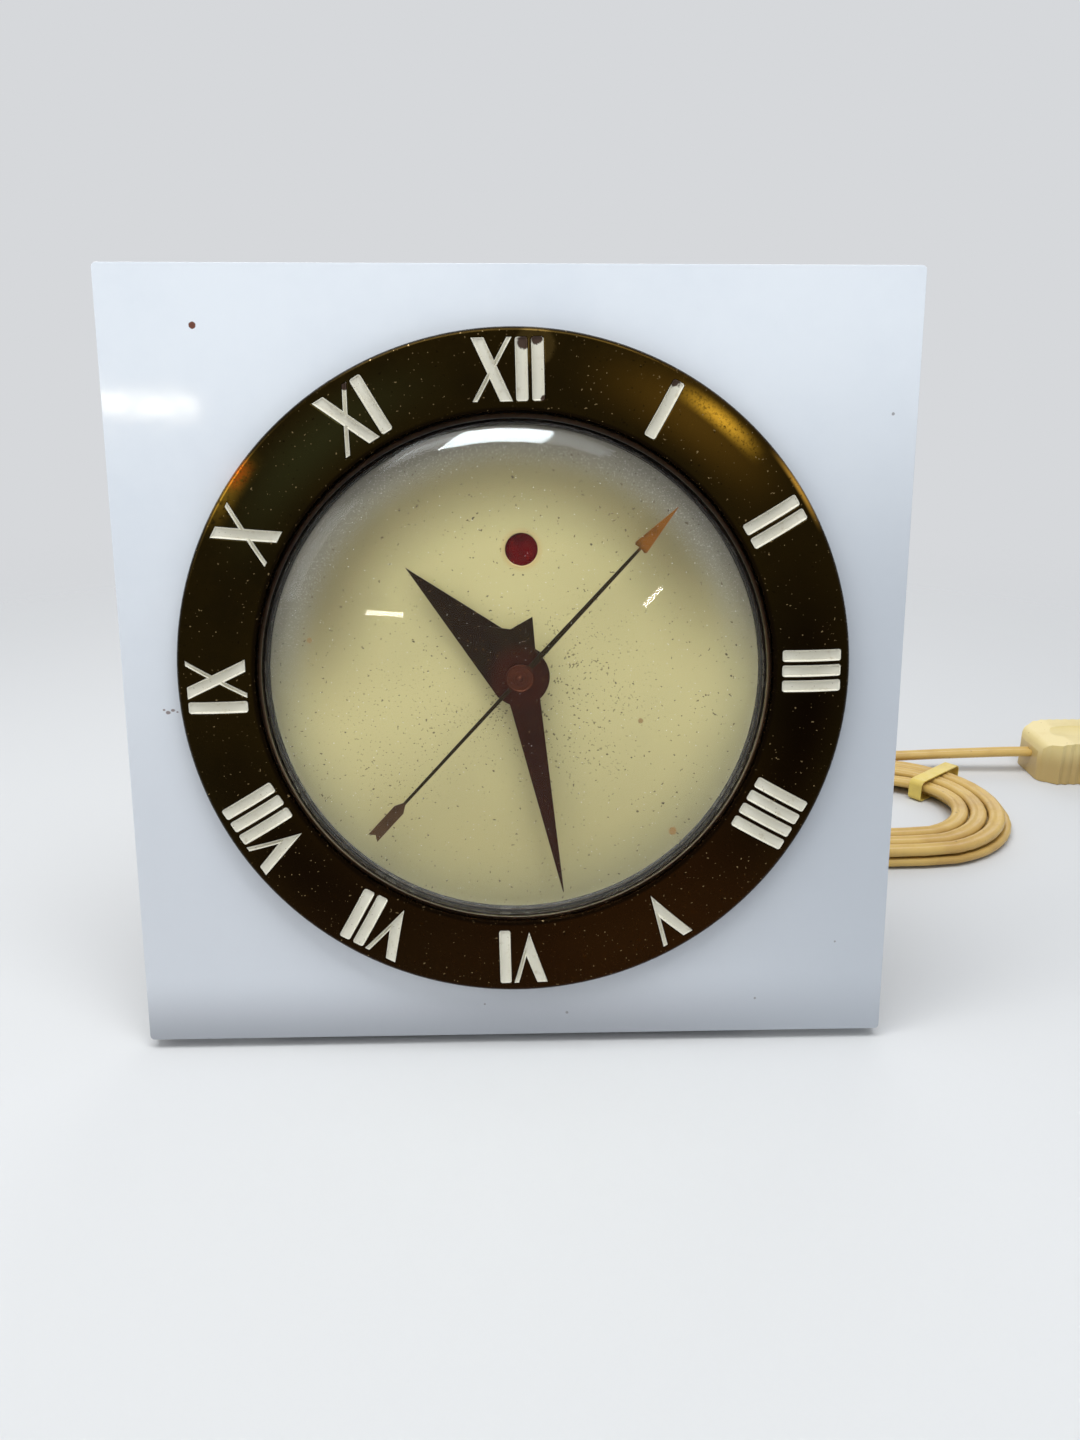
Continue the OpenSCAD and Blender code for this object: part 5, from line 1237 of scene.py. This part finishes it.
class CLOCK_OT_hands(bpy.types.Operator):
    """Finishes the hour and minute hands and models the second hand with its cap"""

    bl_idname = "clock.hands"
    bl_label = "Hands"

    def execute(self, context):
        dressed("hour_hand", "hour_pointer", "hours", "hand_bronze", 0.08, 20)
        dressed("minute_hand", "minute_pointer", "minutes", "hand_bronze", 0.08, 20)
        self.second_hand()
        self.hub_cap()
        return {"FINISHED"}

    def second_hand(self):
        """The second hand: a fine stem with an arrow head, a notched paddle and a round middle."""
        reach, tail = 50.9, 50.2
        stem, head, half, paddle, wide = 0.34, 11.6, 1.75, 10.5, 1.35
        eye, turns = 3.1, [math.radians(a) for a in range(8, 173, 8)]
        right = [(0.0, 1.1 - tail), (wide, -tail), (wide, paddle - tail - wide), (stem, paddle - tail + 0.5)]
        right += [(eye * math.sin(a), -eye * math.cos(a)) for a in turns]
        right += [(stem, reach - head - 0.25), (half * 0.8, reach - head - 0.45), (half, reach - head), (0.08, reach)]
        outline = right + [(-x, y) for x, y in reversed(right) if x > 0]
        hand = risen("second_pointer", outline, SECOND_LOW, SECOND_LOW + SECOND_THICK)
        bevel(hand, 0.07, 2, 50)
        complete(hand, 20, beside(*ARBOR) @ turn(-42.6), "seconds", "hand_copper", "second_hand")

    def hub_cap(self):
        """The second hand's cap: a turned disc with a raised edge, a step and a riveted pin."""
        top = SECOND_LOW + SECOND_THICK
        disc = [(0, -0.1), (3.05, -0.1), (3.12, 0), (3.12, 0.12), (3.02, 0.22), (2.86, 0.22), (2.74, 0.1)]
        step = [(1.7, 0.12), (1.6, 0.3), (1.45, 0.36), (1.0, 0.36), (0.92, 0.3), (0.86, 0.46)]
        section = [(r, top + z) for r, z in disc + step] + arc(0, top + 0.1, 0.72, 32, 90, 5)
        cap = spun("second_cap", section[:-1] + [(0, section[-1][1])], 64, False)
        complete(cap, 30, beside(*ARBOR), "seconds", "hand_copper")


class CLOCK_OT_indicator(bpy.types.Operator):
    """Finishes the indicator's flag"""

    bl_idname = "clock.indicator"
    bl_label = "Indicator"

    def execute(self, context):
        dressed("indicator_flag", "signal_flag", "indicator", "flag_red", 0.06)
        return {"FINISHED"}


class CLOCK_OT_stand(bpy.types.Operator):
    """Finishes the bent stand, its rubber feet and the pad behind the panel"""

    bl_idname = "clock.stand"
    bl_label = "Stand"

    def execute(self, context):
        dressed("stand", "bent_stand", "case", "stand_steel", 0.25, 30, 3)
        dressed("rubber_feet", "foot_pads", "case", "black_rubber", 0.25, 30, 3)
        dressed("panel_pad", "board_pad", "case", "pad_board", 0.08)
        return {"FINISHED"}


class CLOCK_OT_housing(bpy.types.Operator):
    """Spins the drawn housing and its pressed cover, with their fasteners"""

    bl_idname = "clock.housing"
    bl_label = "Housing"

    def execute(self, context):
        self.shell()
        self.cover()
        dressed("cover_screws", "cover_screw_set", "case", "bright_steel")
        dressed("stud_nuts", "nut_set", "case", "bright_steel")
        dressed("stud_washers", "washer_set", "case", "bright_steel")
        return {"FINISHED"}

    def shell(self):
        wall, outer, flange, front, back = 0.8, 61.7, 75.0, -10.0, -45.2
        curve, lip, bend = 5.0, 50.5, 1.2
        turn_z = back + curve - wall
        section = [(outer - wall, front + wall), (flange - 0.15, front + wall), (flange, front + wall - 0.2)]
        section += [(flange, front + 0.15), (flange - 0.15, front)]
        section += arc(outer + bend, front - bend, bend, 90, 180, 6)
        section += arc(outer - curve, turn_z, curve, 0, -90, 10)
        section += [(lip, turn_z - curve), (lip, turn_z - curve + wall)]
        section += arc(outer - curve, turn_z, curve - wall, -90, 0, 10)
        shell = spun("drawn_housing", section, 160)
        cut_away(shell, copies(peg("flange_cutter", 1.8, -14, -5), around(*STUDS)))
        cut_away(shell, copies(peg("screw_cutter", 1.4, -48, -43), around(*SCREWS)))
        complete(shell, 35, leaning(), "case", "housing_paint", "housing")

    def cover(self):
        wall, back, dish, flat, step, rim = 0.8, -46.0, 1.2, 47.0, 2.4, 55.5
        low, end = back - dish, flat + step
        section = [(0, low), (flat - 0.4, low), (flat + 0.3, low + 0.1), (end - 0.3, back - 0.1), (end + 0.4, back)]
        section += [(rim - 0.2, back), (rim, back - 0.2), (rim, back - wall + 0.25), (rim - 0.25, back - wall)]
        section += [(end + 0.8, back - wall), (end + 0.1, back - wall - 0.1), (flat + 0.7, low - wall + 0.1)]
        section += [(flat, low - wall), (0, low - wall)]
        cover = spun("pressed_cover", section, 160, False)
        slot = risen("vent_cutter", rounded(15.0, 2.6, 1.29, 6), -51, -43)
        cutters = [
            copies(peg("screw_cutter", 1.6, -50, -43), around(*SCREWS)),
            peg("set_cutter", 2.4, -50, -43, 32, (0.9, -23.6)),
            peg("relief_cutter", 4.05, -50, -43, 32, (16.0, -38.0)),
            copies(slot, around(36, [90 + (i - 3) * 14 for i in range(7)])),
        ]
        cut_away(cover, joined("cover_cutters", cutters))
        bevel(cover, 0.15, 2, 40)
        complete(cover, 35, leaning(), "case", "housing_paint", "rear_cover")


class CLOCK_OT_rear_fittings(bpy.types.Operator):
    """Finishes the fluted set knob and the cord's strain relief"""

    bl_idname = "clock.rear_fittings"
    bl_label = "Rear Fittings"

    def execute(self, context):
        dressed("set_knob", "fluted_knob", "setting", "knob_plastic", 0.2)
        dressed("strain_relief", "ribbed_relief", "case", "cord_vinyl", 0.2)
        return {"FINISHED"}


MOVEMENT = {
    "case": {
        "bright_steel": ("pillar_screws", "motion_stud", "flag_stud", "core_posts"),
        "train_brass": ("ring_studs", "pillars", "back_plate"),
        "plate_steel": ("mounting_plate",),
        "rotor_copper": ("rotor_can",),
        "core_iron": ("field_core",),
        "bobbin_fibre": ("coil_bobbin",),
        "coil_tape": ("field_coil",),
        "lead_sleeve": ("coil_leads",),
    },
    "seconds": {"bright_steel": ("second_arbor",), "train_brass": ("second_wheel",)},
    "rotor": {"bright_steel": ("rotor_pinion",)},
    "third": {"bright_steel": ("third_arbor",), "train_brass": ("third_wheel",)},
    "clutch": {"train_brass": ("clutch_wheel",)},
    "minutes": {"bright_steel": ("minute_arbor", "clutch_spring", "clutch_collar")},
    "motion": {"train_brass": ("motion_wheel",)},
    "hours": {"train_brass": ("hour_wheel",)},
    "setting": {"bright_steel": ("set_arbor",)},
}


class CLOCK_OT_movement(bpy.types.Operator):
    """Finishes the plates, train, motor and motion work, the ring's studs and the set arbor"""

    bl_idname = "clock.movement"
    bl_label = "Movement"

    def execute(self, context):
        for body, slots in MOVEMENT.items():
            for slot, nodes in slots.items():
                for node in nodes:
                    dressed(node, node + "_dressed", body, slot, 0.06)
        return {"FINISHED"}


class CLOCK_OT_stage(bpy.types.Operator):
    """Sets the pale floor, the sky and the soft lamps"""

    bl_idname = "clock.stage"
    bl_label = "Stage"

    # a lamp's name, its place, what it points at, its size, its power, its colour and its roll
    lamps = (
        ("top_softbox", (-0.06, -0.16, 0.80), (0, 0.0, 0.09), (0.85, 0.30), 4.9, (0.96, 0.98, 1.0)),
        ("left_softbox", (-0.85, -0.45, 0.55), (0, 0, 0.08), (0.5, 0.5), 1.9, (1.0, 0.98, 0.95)),
        ("panel_streak", (-0.362, -0.959, 0.327), (-0.08, -0.016, 0.15), (0.11, 0.02), 0.07, (1.0, 0.9, 0.7)),
        ("glass_bar_left", (-0.322, -0.98, 0.226), (-0.03, -0.034, 0.106), (0.095, 0.012), 0.36, (1.0, 0.93, 0.74)),
        ("glass_bar_right", (0.359, -0.965, 0.262), (0.03, -0.033, 0.111), (0.065, 0.012), 0.25, (1.0, 0.93, 0.74), 42),
        ("glass_crescent", (-0.04, -0.24, 0.78), (0, -0.02, 0.16), (0.32, 0.34), 31.0, (0.84, 0.95, 1.0)),
        ("back_softbox", (0.25, 0.95, 0.6), (0, 0, 0.06), (0.7, 0.7), 1.6, (1.0, 1.0, 1.0)),
    )

    def execute(self, context):
        deselect()
        bpy.ops.mesh.primitive_circle_add(vertices=96, radius=2.6, fill_type="NGON", location=(0, 0, -0.0002))
        floor = context.object
        floor.name = "studio_floor"
        seat(floor)
        floor.data.materials.append(self.floor_finish())
        self.sky()
        for lamp in self.lamps:
            self.lamp(*lamp)
        self.only_on("opal_sheet", "panel_streak")
        self.only_on("domed_crystal", "glass_bar_left", "glass_bar_right", "glass_crescent")
        return {"FINISHED"}

    def floor_finish(self):
        """A pale floor that fades into the sky with distance and keeps the clock's shadow."""
        material, net, shader = new_material("Pale floor")
        pale = (*tone(214, 214, 213), 1)
        net.put(shader, Base_Color=pale, Roughness=0.85, Specular_IOR_Level=0.15)
        away = net.length(net.node("ShaderNodeTexCoord").outputs["Object"])
        net.link(net.range(away, 0.22, 0.66, 1.0, 0.0), shader.inputs["Alpha"])
        return material

    def lamp(self, name, place, target, size, power, colour, roll=0.0):
        bpy.ops.object.light_add(type="AREA", location=place)
        lamp = bpy.context.object
        lamp.name = name
        lamp.data.shape = "RECTANGLE"
        lamp.data.size, lamp.data.size_y = size
        lamp.data.energy = power
        lamp.data.color = colour
        aim = (Vector(target) - Vector(place)).to_track_quat("-Z", "Y").to_matrix()
        lamp.rotation_euler = (aim @ Matrix.Rotation(math.radians(roll), 3, "Z")).to_euler()

    def only_on(self, piece, *lamps):
        """Keeps small highlight lamps to one piece, as flags and snoots do in a studio."""
        lit = bpy.data.collections.new("lit_" + piece)
        lit.objects.link(bpy.data.objects[piece])
        for name in lamps:
            lamp = bpy.data.objects[name]
            lamp.light_linking.receiver_collection = lit
            lamp.data.cycles.max_bounces = 1

    def sky(self):
        world = bpy.data.worlds.new("Studio")
        bpy.context.scene.world = world
        world.use_nodes = True
        net = Net(world.node_tree)
        back = world.node_tree.nodes["Background"]
        rays = net.node("ShaderNodeLightPath")
        seen = net.math("MAXIMUM", rays.outputs["Is Camera Ray"], rays.outputs["Is Glossy Ray"])
        seen = net.math("MAXIMUM", seen, rays.outputs["Is Transmission Ray"])
        height = net.parts(net.node("ShaderNodeTexCoord").outputs["Generated"])[2]
        dome = net.mix(net.range(height, 0.05, 0.9), (0.34, 0.35, 0.36), (0.58, 0.61, 0.66))
        net.link(net.mix(seen, dome, tone(214, 216, 219)), back.inputs["Color"])
        back.inputs["Strength"].default_value = 1.0


class CLOCK_PT_clock(bpy.types.Panel):
    """Shows the clock's sizes, its colours and the steps that build it"""

    bl_idname = "CLOCK_PT_clock"
    bl_label = "Table Clock"
    bl_space_type = "VIEW_3D"
    bl_region_type = "UI"
    bl_category = "Clock"

    def draw(self, context):
        for owner in (context.scene.clock_sizes, context.scene.clock_colours):
            for name in owner.bl_rna.properties.keys():
                if name not in ("rna_type", "name"):
                    self.layout.prop(owner, name)
        for operator in OPERATORS:
            self.layout.operator(operator.bl_idname)


OPERATORS = (
    CLOCK_OT_camera, CLOCK_OT_finishes, CLOCK_OT_cord, CLOCK_OT_panel, CLOCK_OT_numeral_ring, CLOCK_OT_crystal,
    CLOCK_OT_dial, CLOCK_OT_hands, CLOCK_OT_indicator, CLOCK_OT_stand, CLOCK_OT_housing, CLOCK_OT_rear_fittings,
    CLOCK_OT_movement, CLOCK_OT_stage,
)
CLASSES = (ClockSizes, ClockColours) + OPERATORS + (CLOCK_PT_clock,)


def register():
    for cls in CLASSES:
        bpy.utils.register_class(cls)
    bpy.types.Scene.clock_sizes = bpy.props.PointerProperty(type=ClockSizes)
    bpy.types.Scene.clock_colours = bpy.props.PointerProperty(type=ClockColours)


def unregister():
    del bpy.types.Scene.clock_sizes
    del bpy.types.Scene.clock_colours
    for cls in reversed(CLASSES):
        bpy.utils.unregister_class(cls)


def main():
    register()
    for operator in OPERATORS:
        name = operator.bl_idname.split(".")[1]
        getattr(bpy.ops.clock, name)()
    deselect()


if __name__ == "__main__":
    main()
